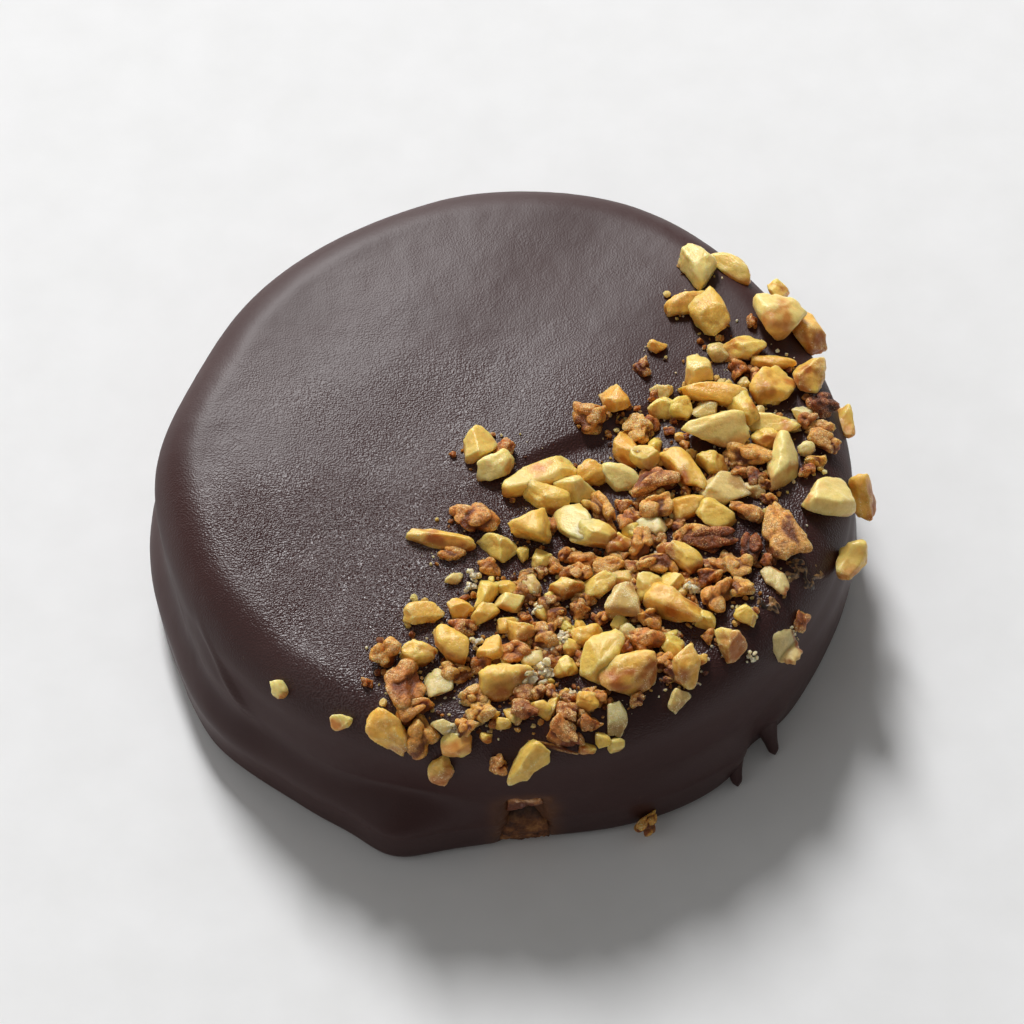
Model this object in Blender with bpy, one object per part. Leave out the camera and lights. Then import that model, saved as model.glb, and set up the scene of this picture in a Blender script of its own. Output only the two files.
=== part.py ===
"""Alfajor: a round sandwich biscuit in a dark chocolate coat, with chopped roasted nuts strewn over one side.

It lies flat on z = 0 with its middle on the Z axis.  +Y is the plain side, -Y the side with the nuts.
The coat and the upper biscuit under it are one solid, with the nuts and two chocolate drips fused on.
A small bare spot low in the front wall shows the lower biscuit and, above it, the filling, so both
layers run through the coat as discs of their own.
"""
import math
import random

import bmesh
import bpy
from mathutils import Matrix, Vector

MM = 0.001

# Half section of the coat (mm): foot, lower bulge, waist between the biscuits, brow, round shoulder, top.
FOOT_RADIUS = 32.2
FOOT_ROUND = 1.5
WAIST_RADIUS = 31.0
WAIST_HEIGHT = 8.3
BULGE_HEIGHT = 4.4
BROW_RADIUS = 31.2
BROW_HEIGHT = 11.7
SHOULDER_ROUND = 4.5
DOME_RISE = 0.3
RIM_STEPS = 72

# Uneven outline: (direction in degrees, spread in degrees, swelling in mm) of each soft lobe, by height.
FOOT_LOBES = ((75, 30, 0.4), (185, 12, 0.35), (219, 10, 1.2), (242, 6, 0.7), (253, 4.5, 1.8), (261, 5, 0.2),
              (276, 9, -1.3), (292, 8, -0.4), (318, 4, -0.9), (325, 7, -0.8), (352, 9, 0.4))
WAIST_LOBES = ((0, 25, 0.9), (80, 40, 1.4), (218, 8, 0.8), (242, 5, 0.3), (258, 6, -0.3))
BROW_LOBES = ((5, 14, 0.5), (40, 14, 0.5), (68, 11, 0.9), (80, 28, 1.9), (95, 9, 0.25),
              (113, 9, -0.2), (157, 9, -0.45), (178, 9, 0.5), (270, 45, -0.2))

# A shallow fold crosses the top: the coat drops by FOLD_DROP on the side of the nuts and rises again.
FOLD_MIDDLE = (7.0, 3.2)
FOLD_TURN = math.radians(28.0)
FOLD_HALF_LENGTH = 8.5
FOLD_DROP = 0.7
FOLD_WIDTH = 1.8
FOLD_RECOVERY = 9.0

# Layers inside (mm), with a gap of LAYER_GAP to what is round them.
LAYER_RADIUS = 28.3
LAYER_GAP = 0.3
LAYER_ROUND = 0.5
LAYER_STEPS = 48
BISCUIT_HEIGHTS = (1.5, 6.2)
FILLING_HEIGHTS = (6.5, 8.2)

# The bare spot in the coat (mm): an uneven arch that stands on the table and reaches in to SPOT_DEPTH.
SPOT_X = 1.9
SPOT_HALF_WIDTH = 2.1
SPOT_TOP = 8.8
SPOT_SQUARENESS = 6.0
SPOT_UNEVEN = 0.03
SPOT_STEPS = 12
SPOT_DEPTH = 27.3

# In the bare spot each layer comes forward by a tongue with these corners: distance from the axis, height.
BISCUIT_HALF_WIDTH = 1.8
FILLING_HALF_WIDTH = 1.5
TONGUE_ROOT = 25.3
TONGUE_SIDE = 0.4
TONGUE_TAPER = 0.12
BISCUIT_FACE = ((27.65, 1.6), (27.75, 0.3), (29.6, 0.3), (30.4, 0.8), (30.8, 1.6),
                (30.9, 2.8), (30.6, 4.2), (29.9, 5.2), (28.8, 5.9))
FILLING_FACE = ((30.3, 6.55), (30.75, 6.9), (30.8, 7.7), (30.4, 8.1))

# Chocolate drips: (root direction, root height, tip direction, tip radius), degrees and mm.
DRIPS = ((312.2, 3.5, 310.4, 32.25), (321.2, 3.8, 319.1, 32.3))
DRIP_ROOT_RADIUS = 30.3
DRIP_HALF_WIDTHS = (1.9, 0.5)
DRIP_HALF_HEIGHTS = (1.3, 0.42)
DRIP_NARROWING = 1.7
DRIP_TIP_HEIGHT = 0.55
DRIP_RINGS = 6
DRIP_SIDES = 10

# Nut pieces, all mm and degrees: x, y, long, wide, high, turn about the upright, and for a piece that is
# not bedded straight in the top, the height of its middle.
PALE_NUTS = (
    (18.2, 21.7, 4.4, 3.0, 2.4, -50), (21.0, 22.0, 4.2, 2.0, 1.7, -25), (17.5, 9.5, 2.8, 2.6, 2.0, 0),
    (25.5, 16.1, 4.9, 4.2, 3.0, 15, 16.5), (24.6, 3.6, 4.5, 2.4, 1.8, -5), (18.8, 2.6, 6.1, 3.3, 2.4, 8, 17.6),
    (12.7, -0.3, 2.6, 1.9, 1.8, -10, 17.1), (10.4, -2.1, 3.6, 2.3, 1.8, 5), (6.4, -3.6, 3.6, 2.5, 2.2, -15),
    (25.2, -0.6, 5.3, 2.6, 2.4, 75), (29.3, -4.1, 6.0, 3.5, 2.8, 34, 16.0), (31.2, -9.1, 3.5, 2.7, 2.4, 80, 13.2),
    (3.3, -2.1, 7.4, 2.4, 2.2, 22), (6.3, -7.5, 4.6, 2.9, 2.4, -60), (8.1, -9.0, 3.8, 2.2, 2.0, -15, 17.6),
    (-2.2, 0.9, 3.3, 2.7, 2.4, 40), (-0.7, -1.5, 3.2, 2.3, 2.0, 35), (0.4, -15.8, 3.4, 1.9, 1.7, 8),
    (-3.7, -29.8, 3.2, 2.0, 1.4, 0, 15.2), (9.9, -29.0, 2.0, 1.7, 1.0, -30, 14.1), (3.4, -11.2, 2.0, 1.8, 1.5, -20),
    (24.8, -19.0, 4.1, 3.2, 1.4, 70, 13.0), (24.1, -13.1, 3.4, 1.9, 0.9, -48), (12.8, -14.1, 2.5, 2.3, 1.6, 0),
    (-19.8, -23.4, 1.8, 1.4, 1.3, -70, 14.5), (-14.0, -27.0, 1.9, 1.3, 1.1, 5, 14.7),
    (31.2, 6.3, 3.2, 1.8, 1.8, 85, 13.0))
GOLD_NUTS = (
    (16.8, 17.1, 3.8, 2.2, 1.8, 25), (18.9, 16.0, 5.0, 3.0, 2.6, -60), (22.0, 12.3, 3.9, 2.4, 2.0, -5),
    (24.7, 10.8, 3.9, 1.4, 1.4, 0), (24.5, 7.8, 3.9, 3.3, 2.4, 50), (27.5, 9.4, 4.3, 2.8, 2.4, 70),
    (27.9, 15.8, 4.3, 3.0, 2.4, -65, 14.5), (25.4, 20.2, 2.4, 2.0, 1.8, 0, 14.5), (9.9, 5.8, 3.1, 2.2, 2.0, -60),
    (18.6, 7.0, 6.1, 1.9, 2.0, -12), (21.7, 5.0, 3.3, 2.0, 2.2, -65), (11.1, 0.9, 4.3, 2.5, 2.4, -50),
    (16.2, -1.6, 5.1, 2.4, 2.0, -52), (18.6, -0.6, 3.3, 2.2, 1.9, -10), (7.8, -1.6, 2.6, 2.5, 2.0, 30),
    (16.3, -5.4, 3.1, 2.1, 1.8, 15), (18.8, -6.6, 3.3, 2.9, 2.2, 20), (32.4, -1.8, 4.0, 2.4, 2.6, -60, 12.6),
    (4.1, -4.9, 4.6, 2.2, 2.0, -25), (2.5, -7.9, 3.9, 3.4, 2.8, -20), (-0.3, -10.0, 3.1, 2.2, 1.8, -45),
    (-5.4, -9.2, 5.6, 1.7, 1.7, -12), (-1.7, -14.9, 3.6, 1.7, 1.7, 65), (-1.8, -17.3, 2.6, 1.7, 1.5, 45),
    (-4.3, -20.5, 3.6, 3.1, 2.6, -20), (0.2, -24.1, 4.7, 3.1, 2.6, 5), (-7.4, -21.4, 2.9, 2.1, 1.8, -20),
    (-9.9, -28.4, 4.0, 3.0, 2.4, -50, 15.5), (-5.4, -30.8, 2.4, 1.7, 1.4, 50, 13.0), (7.4, -19.5, 2.5, 1.9, 1.7, 20),
    (2.1, -30.8, 4.2, 2.5, 1.8, 45, 14.0), (8.6, -21.4, 4.6, 3.2, 2.8, 65), (11.2, -23.2, 5.5, 3.4, 2.8, 12),
    (15.9, -22.1, 3.4, 2.6, 2.2, 65), (19.9, -19.8, 2.8, 2.3, 2.0, -70), (15.8, -11.1, 3.3, 1.9, 2.0, -40),
    (15.1, -16.5, 5.0, 2.7, 2.4, -28), (5.3, -14.3, 3.5, 2.0, 2.0, 5), (8.4, -13.9, 3.3, 2.1, 2.0, 40),
    (-6.9, -17.3, 3.4, 2.1, 1.7, 5), (-3.8, -16.5, 2.2, 1.8, 1.6, 0), (7.3, -26.1, 2.1, 1.8, 1.6, 0),
    (5.4, -22.6, 2.4, 2.0, 1.9, 0), (14.1, 12.2, 1.5, 1.2, 1.2, 0), (21.3, -17.0, 2.1, 1.6, 1.5, -20),
    (15.0, -13.6, 2.1, 1.8, 1.7, 0), (10.4, -9.6, 2.4, 2.0, 1.9, 0), (14.3, 5.6, 2.2, 1.8, 1.7, 10),
    (16.1, 5.5, 2.2, 2.0, 1.8, 0), (1.3, -18.8, 2.5, 2.2, 2.0, 0), (-0.9, -20.7, 2.5, 2.0, 2.0, 70))
ROAST_NUTS = (
    (8.0, 4.0, 2.8, 2.4, 1.8, 0), (12.1, 3.1, 2.5, 2.3, 1.9, 0), (13.3, -2.7, 3.8, 2.4, 2.2, 35),
    (8.9, -5.9, 3.6, 2.0, 1.9, -68), (13.7, -5.6, 2.8, 2.2, 1.9, 20), (21.5, -5.8, 2.9, 1.7, 1.5, -25),
    (22.1, 0.0, 4.0, 2.3, 1.8, 0), (24.6, -8.3, 5.4, 2.8, 2.4, -75), (-2.4, -7.0, 4.0, 2.6, 2.2, 5),
    (-8.5, -24.5, 3.9, 3.1, 2.2, 60), (-10.3, -21.5, 2.8, 2.1, 2.2, 80), (3.4, -19.4, 2.5, 2.3, 2.0, 10),
    (-7.5, -26.6, 2.8, 1.9, 1.7, 10), (-7.1, -28.7, 3.1, 2.6, 2.2, -60, 15.5), (5.3, -28.8, 3.2, 2.4, 2.2, -45, 15.9),
    (12.1, -19.8, 3.1, 2.4, 2.0, -45), (12.7, -17.5, 1.9, 1.8, 1.7, 0), (18.8, -15.0, 3.1, 2.4, 2.1, 80),
    (18.0, -13.3, 2.3, 1.5, 1.5, 10), (20.7, -11.9, 2.3, 2.1, 1.8, 0), (20.8, -14.3, 2.1, 1.7, 1.6, -20),
    (13.5, -11.5, 2.8, 2.0, 1.8, 10), (12.2, -9.5, 3.0, 2.1, 2.1, 80), (7.2, -11.3, 2.5, 1.4, 1.4, -5),
    (9.5, -11.9, 2.6, 2.0, 1.7, 0), (6.9, -12.9, 1.8, 1.7, 1.6, 0), (0.9, -21.0, 2.6, 2.0, 1.9, 10),
    (-3.9, -23.1, 2.7, 1.5, 1.3, 0), (-2.7, -25.8, 2.2, 1.6, 1.5, 0), (-2.0, -27.1, 2.2, 1.6, 1.5, 20),
    (-3.3, -28.2, 1.7, 1.6, 1.5, 0), (-0.4, -30.8, 1.6, 1.5, 1.4, 0, 13.8), (14.1, -21.9, 1.7, 1.6, 1.4, 10),
    (12.8, -29.5, 2.2, 1.6, 1.6, 75, 2.0), (29.0, 1.8, 2.9, 1.6, 1.5, -15), (28.5, 3.4, 2.2, 1.1, 1.2, 5),
    (28.1, -0.2, 1.6, 1.2, 1.2, -20), (11.4, -7.2, 2.1, 1.7, 1.6, 0), (16.8, -8.2, 2.3, 1.5, 1.4, 10))
DARK_NUTS = ((29.0, 6.4, 2.6, 2.4, 1.6, 0, 16.0), (18.4, -9.2, 5.3, 1.7, 1.6, -6), (22.1, -10.2, 3.0, 1.8, 1.7, 85))
CLEAR_NUTS = (
    (19.6, -3.6, 4.5, 3.2, 1.8, 0), (13.6, -7.6, 3.0, 2.2, 1.3, -25), (19.8, 11.9, 2.5, 1.9, 1.2, 0),
    (-5.7, -24.1, 3.6, 2.2, 1.0, -60), (9.9, -27.0, 3.4, 1.5, 0.8, -80), (10.5, -15.9, 3.3, 3.1, 2.2, 0),
    (15.1, -24.9, 2.1, 1.7, 1.0, 60), (18.3, 5.3, 2.3, 1.4, 1.2, 0), (2.6, -21.8, 1.8, 1.7, 1.3, 0),
    (-5.3, -28.1, 1.8, 1.3, 0.9, 0))

# Smaller bits fill the gaps evenly along the spine of the strewn band.
BAND_SPINE = ((21.0, 17.0), (20.5, 4.0), (12.0, -8.0), (4.0, -19.0), (-5.0, -25.0))
BAND_SPREAD = 4.2
BIT_COUNT = 10
BIT_LENGTHS = (1.2, 1.9)
BIT_TRIES = 12
BIT_SEED = 77

NUT_SUNK = 0.22
NUT_GROWTH = 1.08
NUT_ROUNDING = 7.0
NUT_CUTS = 5
NUT_CUT_DEPTHS = (0.55, 0.92)
NUT_TILT = 12.0
NUT_SEED = 400
FINE_NUT_LENGTH = 5.0
PLAIN_NUT_LENGTH = 3.1


def clear_scene():
    for found in list(bpy.data.objects):
        bpy.data.objects.remove(found)


def smooth(value, start, end):
    """0 below start, 1 above end, with a soft curve between."""
    t = min(1.0, max(0.0, (value - start) / (end - start)))
    return t * t * (3.0 - 2.0 * t)


def swelling(direction, lobes):
    """Sum of soft lobes at one direction, in degrees, round the rim."""
    total = 0.0
    for middle, spread, height in lobes:
        away = (direction - middle + 180.0) % 360.0 - 180.0
        total += height * math.exp(-0.5 * (away / spread) ** 2)
    return total


def top_relief(x, y):
    """Slow waves of the poured coat and the shallow fold across it, in mm."""
    waves = 0.16 * math.sin(0.16 * x + 0.4) * math.cos(0.13 * y - 0.7) + 0.08 * math.sin(0.31 * x - 0.22 * y + 1.0)
    dx = x - FOLD_MIDDLE[0]
    dy = y - FOLD_MIDDLE[1]
    along = dx * math.cos(FOLD_TURN) + dy * math.sin(FOLD_TURN)
    below = dx * math.sin(FOLD_TURN) - dy * math.cos(FOLD_TURN)
    fold = smooth(below, 0.0, FOLD_WIDTH) * math.exp(-(max(0.0, below) / FOLD_RECOVERY) ** 2)
    return waves - FOLD_DROP * fold * math.exp(-(along / FOLD_HALF_LENGTH) ** 2)


def coat_section():
    """Half section of the coat as (radius, height), from the middle of the base round to the middle of the top."""
    points = [(0.0, 0.0)]
    for step in range(4):
        angle = math.radians(30.0 * step)
        radius = FOOT_RADIUS - 0.3 - FOOT_ROUND * (1.0 - math.sin(angle))
        points.append((radius, FOOT_ROUND * (1.0 - math.cos(angle))))
    points.append((FOOT_RADIUS, BULGE_HEIGHT))
    for part in (0.45, 0.75, 1.0):
        radius = FOOT_RADIUS - (FOOT_RADIUS - WAIST_RADIUS) * smooth(part, 0.0, 1.0)
        points.append((radius, BULGE_HEIGHT + part * (WAIST_HEIGHT - BULGE_HEIGHT)))
    for part in (0.35, 1.0):
        radius = WAIST_RADIUS + (BROW_RADIUS - WAIST_RADIUS) * smooth(part, 0.0, 1.0)
        points.append((radius, WAIST_HEIGHT + part * (BROW_HEIGHT - WAIST_HEIGHT)))
    inner = BROW_RADIUS - SHOULDER_ROUND
    for step in range(1, 6):
        angle = math.radians(18.0 * step)
        points.append((inner + SHOULDER_ROUND * math.cos(angle), BROW_HEIGHT + SHOULDER_ROUND * math.sin(angle)))
    for part in (0.86, 0.71, 0.56, 0.41, 0.26, 0.12, 0.0):
        points.append((inner * part, BROW_HEIGHT + SHOULDER_ROUND))
    return points


def coat_surface(x, y, z):
    """Where a point of the turned coat goes: the rim swells by its lobes and the top domes and waves."""
    radius = math.hypot(x, y)
    direction = math.degrees(math.atan2(y, x))
    inner = BROW_RADIUS - SHOULDER_ROUND
    foot = 1.0 - smooth(z, BULGE_HEIGHT, WAIST_HEIGHT)
    brow = smooth(z, WAIST_HEIGHT, BROW_HEIGHT)
    swell = foot * swelling(direction, FOOT_LOBES) + brow * swelling(direction, BROW_LOBES)
    swell += (1.0 - foot - brow) * swelling(direction, WAIST_LOBES)
    stretch = 1.0 + swell / max(radius, inner)
    top = smooth(z, BROW_HEIGHT, BROW_HEIGHT + SHOULDER_ROUND)
    dome = DOME_RISE * (1.0 - min(1.0, radius / inner) ** 2)
    return x * stretch, y * stretch, z + top * (dome + top_relief(x * stretch, y * stretch))


def seat(x, y, height):
    """Point on the coat nearest to a nut, and the way out of the coat there."""
    radius = math.hypot(x, y)
    direction = math.degrees(math.atan2(y, x))
    inner = BROW_RADIUS + swelling(direction, BROW_LOBES) - SHOULDER_ROUND
    outward = Vector((x, y, 0.0)) / radius
    if height is not None and height < BROW_HEIGHT:
        return outward * radius + Vector((0.0, 0.0, height)), outward
    if radius < inner:
        top = BROW_HEIGHT + SHOULDER_ROUND + DOME_RISE * (1.0 - (radius / inner) ** 2) + top_relief(x, y)
        return Vector((x, y, top)), Vector((0.0, 0.0, 1.0))
    rise = math.sqrt(max(0.0, SHOULDER_ROUND ** 2 - (radius - inner) ** 2))
    if height is not None:
        rise = height - BROW_HEIGHT
    normal = (outward * (radius - inner) + Vector((0.0, 0.0, rise))).normalized()
    middle = outward * inner + Vector((0.0, 0.0, BROW_HEIGHT))
    return middle + normal * SHOULDER_ROUND, normal


def material(name, colour, roughness):
    made = bpy.data.materials.new(name)
    made.use_nodes = True
    shader = made.node_tree.nodes["Principled BSDF"]
    shader.inputs["Base Color"].default_value = (*colour, 1.0)
    shader.inputs["Roughness"].default_value = roughness
    shader.inputs["Metallic"].default_value = 0.0
    return made


def turned(section, steps):
    """Closed mesh turned about Z from a half section, in mm, whose ends lie on the axis."""
    bm = bmesh.new()
    verts = [bm.verts.new((radius, 0.0, height)) for radius, height in section]
    edges = [bm.edges.new(pair) for pair in zip(verts, verts[1:])]
    bmesh.ops.spin(bm, geom=verts + edges, axis=(0, 0, 1), cent=(0, 0, 0), angle=math.tau, steps=steps)
    bmesh.ops.remove_doubles(bm, verts=bm.verts, dist=0.001)
    bmesh.ops.recalc_face_normals(bm, faces=bm.faces)
    return bm


def add_object(name, bm, matter, collection=None):
    """Object from a mesh in mm."""
    bmesh.ops.scale(bm, vec=(MM, MM, MM), verts=bm.verts)
    mesh = bpy.data.meshes.new(name)
    bm.to_mesh(mesh)
    bm.free()
    mesh.materials.append(matter)
    made = bpy.data.objects.new(name, mesh)
    (collection or bpy.context.scene.collection).objects.link(made)
    return made


def lofted(rings):
    """Closed mesh in mm through rings of points, each joined to the next, with both ends capped."""
    bm = bmesh.new()
    loops = [[bm.verts.new(point) for point in ring] for ring in rings]
    for lower, upper in zip(loops, loops[1:]):
        for side in range(len(lower)):
            following = (side + 1) % len(lower)
            bm.faces.new((lower[side], lower[following], upper[following], upper[side]))
    bm.faces.new(loops[0][::-1])
    bm.faces.new(loops[-1])
    bmesh.ops.recalc_face_normals(bm, faces=bm.faces)
    return bm


def disc_section(radius, bottom, top, bevel):
    """Half section of a disc with chamfered rims."""
    return ((0.0, bottom), (radius - bevel, bottom), (radius, bottom + bevel),
            (radius, top - bevel), (radius - bevel, top), (0.0, top))


def boolean(target, operation, **operand):
    """Apply one Boolean to the target object."""
    step = target.modifiers.new(operation.lower(), "BOOLEAN")
    step.operation = operation
    step.solver = "EXACT"
    for key, value in operand.items():
        setattr(step, key, value)
    depsgraph = bpy.context.evaluated_depsgraph_get()
    mesh = bpy.data.meshes.new_from_object(target.evaluated_get(depsgraph))
    target.modifiers.clear()
    target.data = mesh


def use_up(target, operation, tool):
    """Boolean with one object, which is then removed."""
    boolean(target, operation, object=tool)
    bpy.data.objects.remove(tool)


def arch_ring(y):
    """Outline of the bare spot at one y: a squarish arch with uneven sides and its foot below the table."""
    power = 2.0 / SPOT_SQUARENESS
    ring = [(SPOT_X + SPOT_HALF_WIDTH, y, -1.0)]
    for step in range(SPOT_STEPS + 1):
        angle = math.pi * step / SPOT_STEPS
        across = math.copysign(abs(math.cos(angle)) ** power, math.cos(angle))
        swell = 1.0 + SPOT_UNEVEN * math.sin(5.0 * angle + 1.0)
        ring.append((SPOT_X + SPOT_HALF_WIDTH * across * swell, y, SPOT_TOP * math.sin(angle) ** power * swell))
    ring.append((SPOT_X - SPOT_HALF_WIDTH, y, -1.0))
    return ring


def tongue_mesh(face, half):
    """Bar across the bare spot whose section ends in one layer's bare face; its two sides are rounded off."""
    section = [(TONGUE_ROOT, face[0][1]), *face, (TONGUE_ROOT, face[-1][1])]
    middle = [sum(values) / len(section) for values in zip(*section)]
    rings = []
    for x, size in ((-half, 1.0 - TONGUE_TAPER), (TONGUE_SIDE - half, 1.0),
                    (half - TONGUE_SIDE, 1.0), (half, 1.0 - TONGUE_TAPER)):
        rings.append([(SPOT_X + x, -middle[0] - (radius - middle[0]) * size, middle[1] + (height - middle[1]) * size)
                      for radius, height in section])
    return lofted(rings)


def layer(name, matter, heights, face, half):
    """A disc inside the coat with a tongue that comes forward in the bare spot."""
    bottom, top = heights
    disc = add_object(name, turned(disc_section(LAYER_RADIUS, bottom, top, LAYER_ROUND), LAYER_STEPS), matter)
    use_up(disc, "UNION", add_object(name + "_tongue", tongue_mesh(face, half), matter))
    return disc


def coat_shell(matter):
    """The coat with the upper biscuit, hollow for the lower layers and open at the bare spot."""
    bm = turned(coat_section(), RIM_STEPS)
    for vert in bm.verts:
        vert.co = Vector(coat_surface(*vert.co))
    coat = add_object("coat", bm, matter)
    bottom = BISCUIT_HEIGHTS[0] - LAYER_GAP
    top = FILLING_HEIGHTS[1] + LAYER_GAP
    hollow = turned(disc_section(LAYER_RADIUS + LAYER_GAP, bottom, top, LAYER_GAP), LAYER_STEPS)
    use_up(coat, "DIFFERENCE", add_object("hollow", hollow, matter))
    spot = lofted([arch_ring(-SPOT_DEPTH), arch_ring(-FOOT_RADIUS - 5.0)])
    use_up(coat, "DIFFERENCE", add_object("spot", spot, matter))
    return coat


def nut_faces(rng):
    """Faces of one chopped nut as (normal, distance): a unit box and a few seeded cuts across it."""
    faces = []
    for axis in range(3):
        for side in (-1.0, 1.0):
            normal = Vector((0.0, 0.0, 0.0))
            normal[axis] = side
            faces.append((normal, 1.0))
    for _ in range(NUT_CUTS):
        normal = Vector((rng.gauss(0.0, 1.0), rng.gauss(0.0, 1.0), rng.gauss(0.0, 1.0))).normalized()
        faces.append((normal, rng.uniform(*NUT_CUT_DEPTHS)))
    return faces


def nut_reach(way, faces):
    """How far a nut reaches from its middle in one direction: a softened nearest face."""
    total = sum(max(0.0, way.dot(normal) / distance) ** NUT_ROUNDING for normal, distance in faces)
    return total ** (-1.0 / NUT_ROUNDING)


def nut_mesh(row, number):
    """One nut piece, placed on the coat, in mm."""
    x, y, length, width, height, turn = row[:6]
    middle_height = row[6] if len(row) > 6 else None
    rng = random.Random(NUT_SEED + number)
    faces = nut_faces(rng)
    tilts = [math.radians(rng.uniform(-NUT_TILT, NUT_TILT)) for _ in range(2)]
    point, normal = seat(x, y, middle_height)
    middle = point + normal * height * (0.5 - NUT_SUNK)
    if middle_height is not None:
        middle = Vector((x, y, middle_height))
    bm = bmesh.new()
    if length >= FINE_NUT_LENGTH:
        bmesh.ops.create_icosphere(bm, subdivisions=2, radius=1.0)
    elif length >= PLAIN_NUT_LENGTH:
        bmesh.ops.create_uvsphere(bm, u_segments=6, v_segments=4, radius=1.0)
    else:
        bmesh.ops.create_icosphere(bm, subdivisions=1, radius=1.0)
    size = Vector((length, width, height)) * NUT_GROWTH / 2.0
    upright = Vector((0.0, 0.0, 1.0)).rotation_difference(normal).to_matrix()
    tilt = Matrix.Rotation(tilts[0], 3, "X") @ Matrix.Rotation(tilts[1], 3, "Y")
    frame = upright @ Matrix.Rotation(math.radians(turn), 3, "Z") @ tilt
    for vert in bm.verts:
        way = vert.co.normalized()
        vert.co = middle + frame @ (way * nut_reach(way, faces) * size)
    return bm


def nearest_gap(x, y, rows):
    """Distance from a place to the edge of the nearest nut."""
    return min(math.hypot(x - row[0], y - row[1]) - (row[2] + row[3]) / 4.0 for row in rows)


def bit_rows(rows):
    """Small nut bits: each takes the emptiest of a few seeded places beside the spine of the band."""
    rng = random.Random(BIT_SEED)
    taken = list(rows)
    bits = []
    for _ in range(BIT_COUNT):
        places = []
        for _ in range(BIT_TRIES):
            along = rng.uniform(0.0, len(BAND_SPINE) - 1.001)
            leg = int(along)
            part = along - leg
            start, end = BAND_SPINE[leg], BAND_SPINE[leg + 1]
            x = start[0] + part * (end[0] - start[0]) + rng.gauss(0.0, BAND_SPREAD)
            y = start[1] + part * (end[1] - start[1]) + rng.gauss(0.0, BAND_SPREAD)
            if math.hypot(x, y) < BROW_RADIUS - 3.5:
                places.append((x, y))
        x, y = max(places, key=lambda place: nearest_gap(*place, taken))
        length = rng.uniform(*BIT_LENGTHS)
        bit = (x, y, length, length * rng.uniform(0.7, 0.95), length * rng.uniform(0.6, 0.85), rng.uniform(0, 180))
        bits.append(bit)
        taken.append(bit)
    return bits


def rim_point(direction, radius, height):
    """Point in mm from a direction in degrees, a distance from the axis and a height."""
    angle = math.radians(direction)
    return Vector((radius * math.cos(angle), radius * math.sin(angle), height))


def drip_mesh(root_direction, root_height, tip_direction, tip_radius):
    """A chocolate drip like a thorn: broad on the wall, it soon thins and ends in a blunt tip, in mm."""
    root = rim_point(root_direction, DRIP_ROOT_RADIUS, root_height)
    tip = rim_point(tip_direction, tip_radius, DRIP_TIP_HEIGHT)
    way = (tip - root).normalized()
    across = way.cross(Vector((0.0, 0.0, 1.0))).normalized()
    upward = across.cross(way)
    rings = []
    for step in range(DRIP_RINGS + 1):
        t = min(1.0, step / (DRIP_RINGS - 1.0))
        blunt = 1.0 if step < DRIP_RINGS else 0.5
        middle = root.lerp(tip, t) + way * DRIP_HALF_HEIGHTS[1] * (1.0 - blunt)
        half_width = DRIP_HALF_WIDTHS[1] + (DRIP_HALF_WIDTHS[0] - DRIP_HALF_WIDTHS[1]) * (1.0 - t) ** DRIP_NARROWING
        half_height = DRIP_HALF_HEIGHTS[1] + (DRIP_HALF_HEIGHTS[0] - DRIP_HALF_HEIGHTS[1]) * (1.0 - t)
        ring = []
        for side in range(DRIP_SIDES):
            angle = math.tau * side / DRIP_SIDES
            ring.append(middle + across * half_width * blunt * math.cos(angle)
                        + upward * half_height * blunt * math.sin(angle))
        rings.append(ring)
    return lofted(rings)


def fuse_toppings(coat, matter):
    """Join every nut and both drips to the coat with one union over their collection."""
    toppings = bpy.data.collections.new("toppings")
    bpy.context.scene.collection.children.link(toppings)
    rows = list(PALE_NUTS + GOLD_NUTS + ROAST_NUTS + DARK_NUTS + CLEAR_NUTS)
    rows += bit_rows(rows)
    for number, row in enumerate(rows):
        add_object("nut_%03d" % number, nut_mesh(row, number), matter, toppings)
    for number, drip in enumerate(DRIPS):
        add_object("drip_%d" % number, drip_mesh(*drip), matter, toppings)
    boolean(coat, "UNION", operand_type="COLLECTION", collection=toppings)
    for found in list(toppings.objects):
        bpy.data.objects.remove(found)
    bpy.data.collections.remove(toppings)


def drop_scraps(made):
    """Keep only the largest connected piece of a mesh."""
    bm = bmesh.new()
    bm.from_mesh(made.data)
    left = set(bm.verts)
    pieces = []
    while left:
        front = [left.pop()]
        piece = list(front)
        while front:
            vert = front.pop()
            for edge in vert.link_edges:
                other = edge.other_vert(vert)
                if other in left:
                    left.remove(other)
                    front.append(other)
                    piece.append(other)
        pieces.append(piece)
    pieces.sort(key=len)
    for piece in pieces[:-1]:
        bmesh.ops.delete(bm, geom=piece, context="VERTS")
    bmesh.ops.triangulate(bm, faces=bm.faces)
    bm.to_mesh(made.data)
    bm.free()


def main():
    clear_scene()
    chocolate = material("dark_chocolate", (0.028, 0.017, 0.014), 0.45)
    crumb = material("baked_biscuit", (0.20, 0.095, 0.035), 0.85)
    caramel = material("caramel_filling", (0.42, 0.20, 0.07), 0.55)
    coat = coat_shell(chocolate)
    fuse_toppings(coat, chocolate)
    drop_scraps(coat)
    layers = [layer("biscuit", crumb, BISCUIT_HEIGHTS, BISCUIT_FACE, BISCUIT_HALF_WIDTH),
              layer("filling", caramel, FILLING_HEIGHTS, FILLING_FACE, FILLING_HALF_WIDTH)]
    for made in [coat, *layers]:
        made.data.shade_smooth()
        made.data.set_sharp_from_angle(angle=math.radians(40.0))


main()
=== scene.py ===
"""Looks of the alfajor: a dark chocolate coat with fine bumps, chopped roasted nuts on one side of the top,
two thorn-like drips, and a bare spot low in the front wall where biscuit and caramel show.

Sizes are in millimetres until a mesh is made.  +Y is the plain side, -Y the side with the nuts.
Layers of unevenness are written (height, size, seed): so high, with swells of that size.
"""

import math
import random

import bpy
import numpy as np
from mathutils import Matrix, Vector


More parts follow.
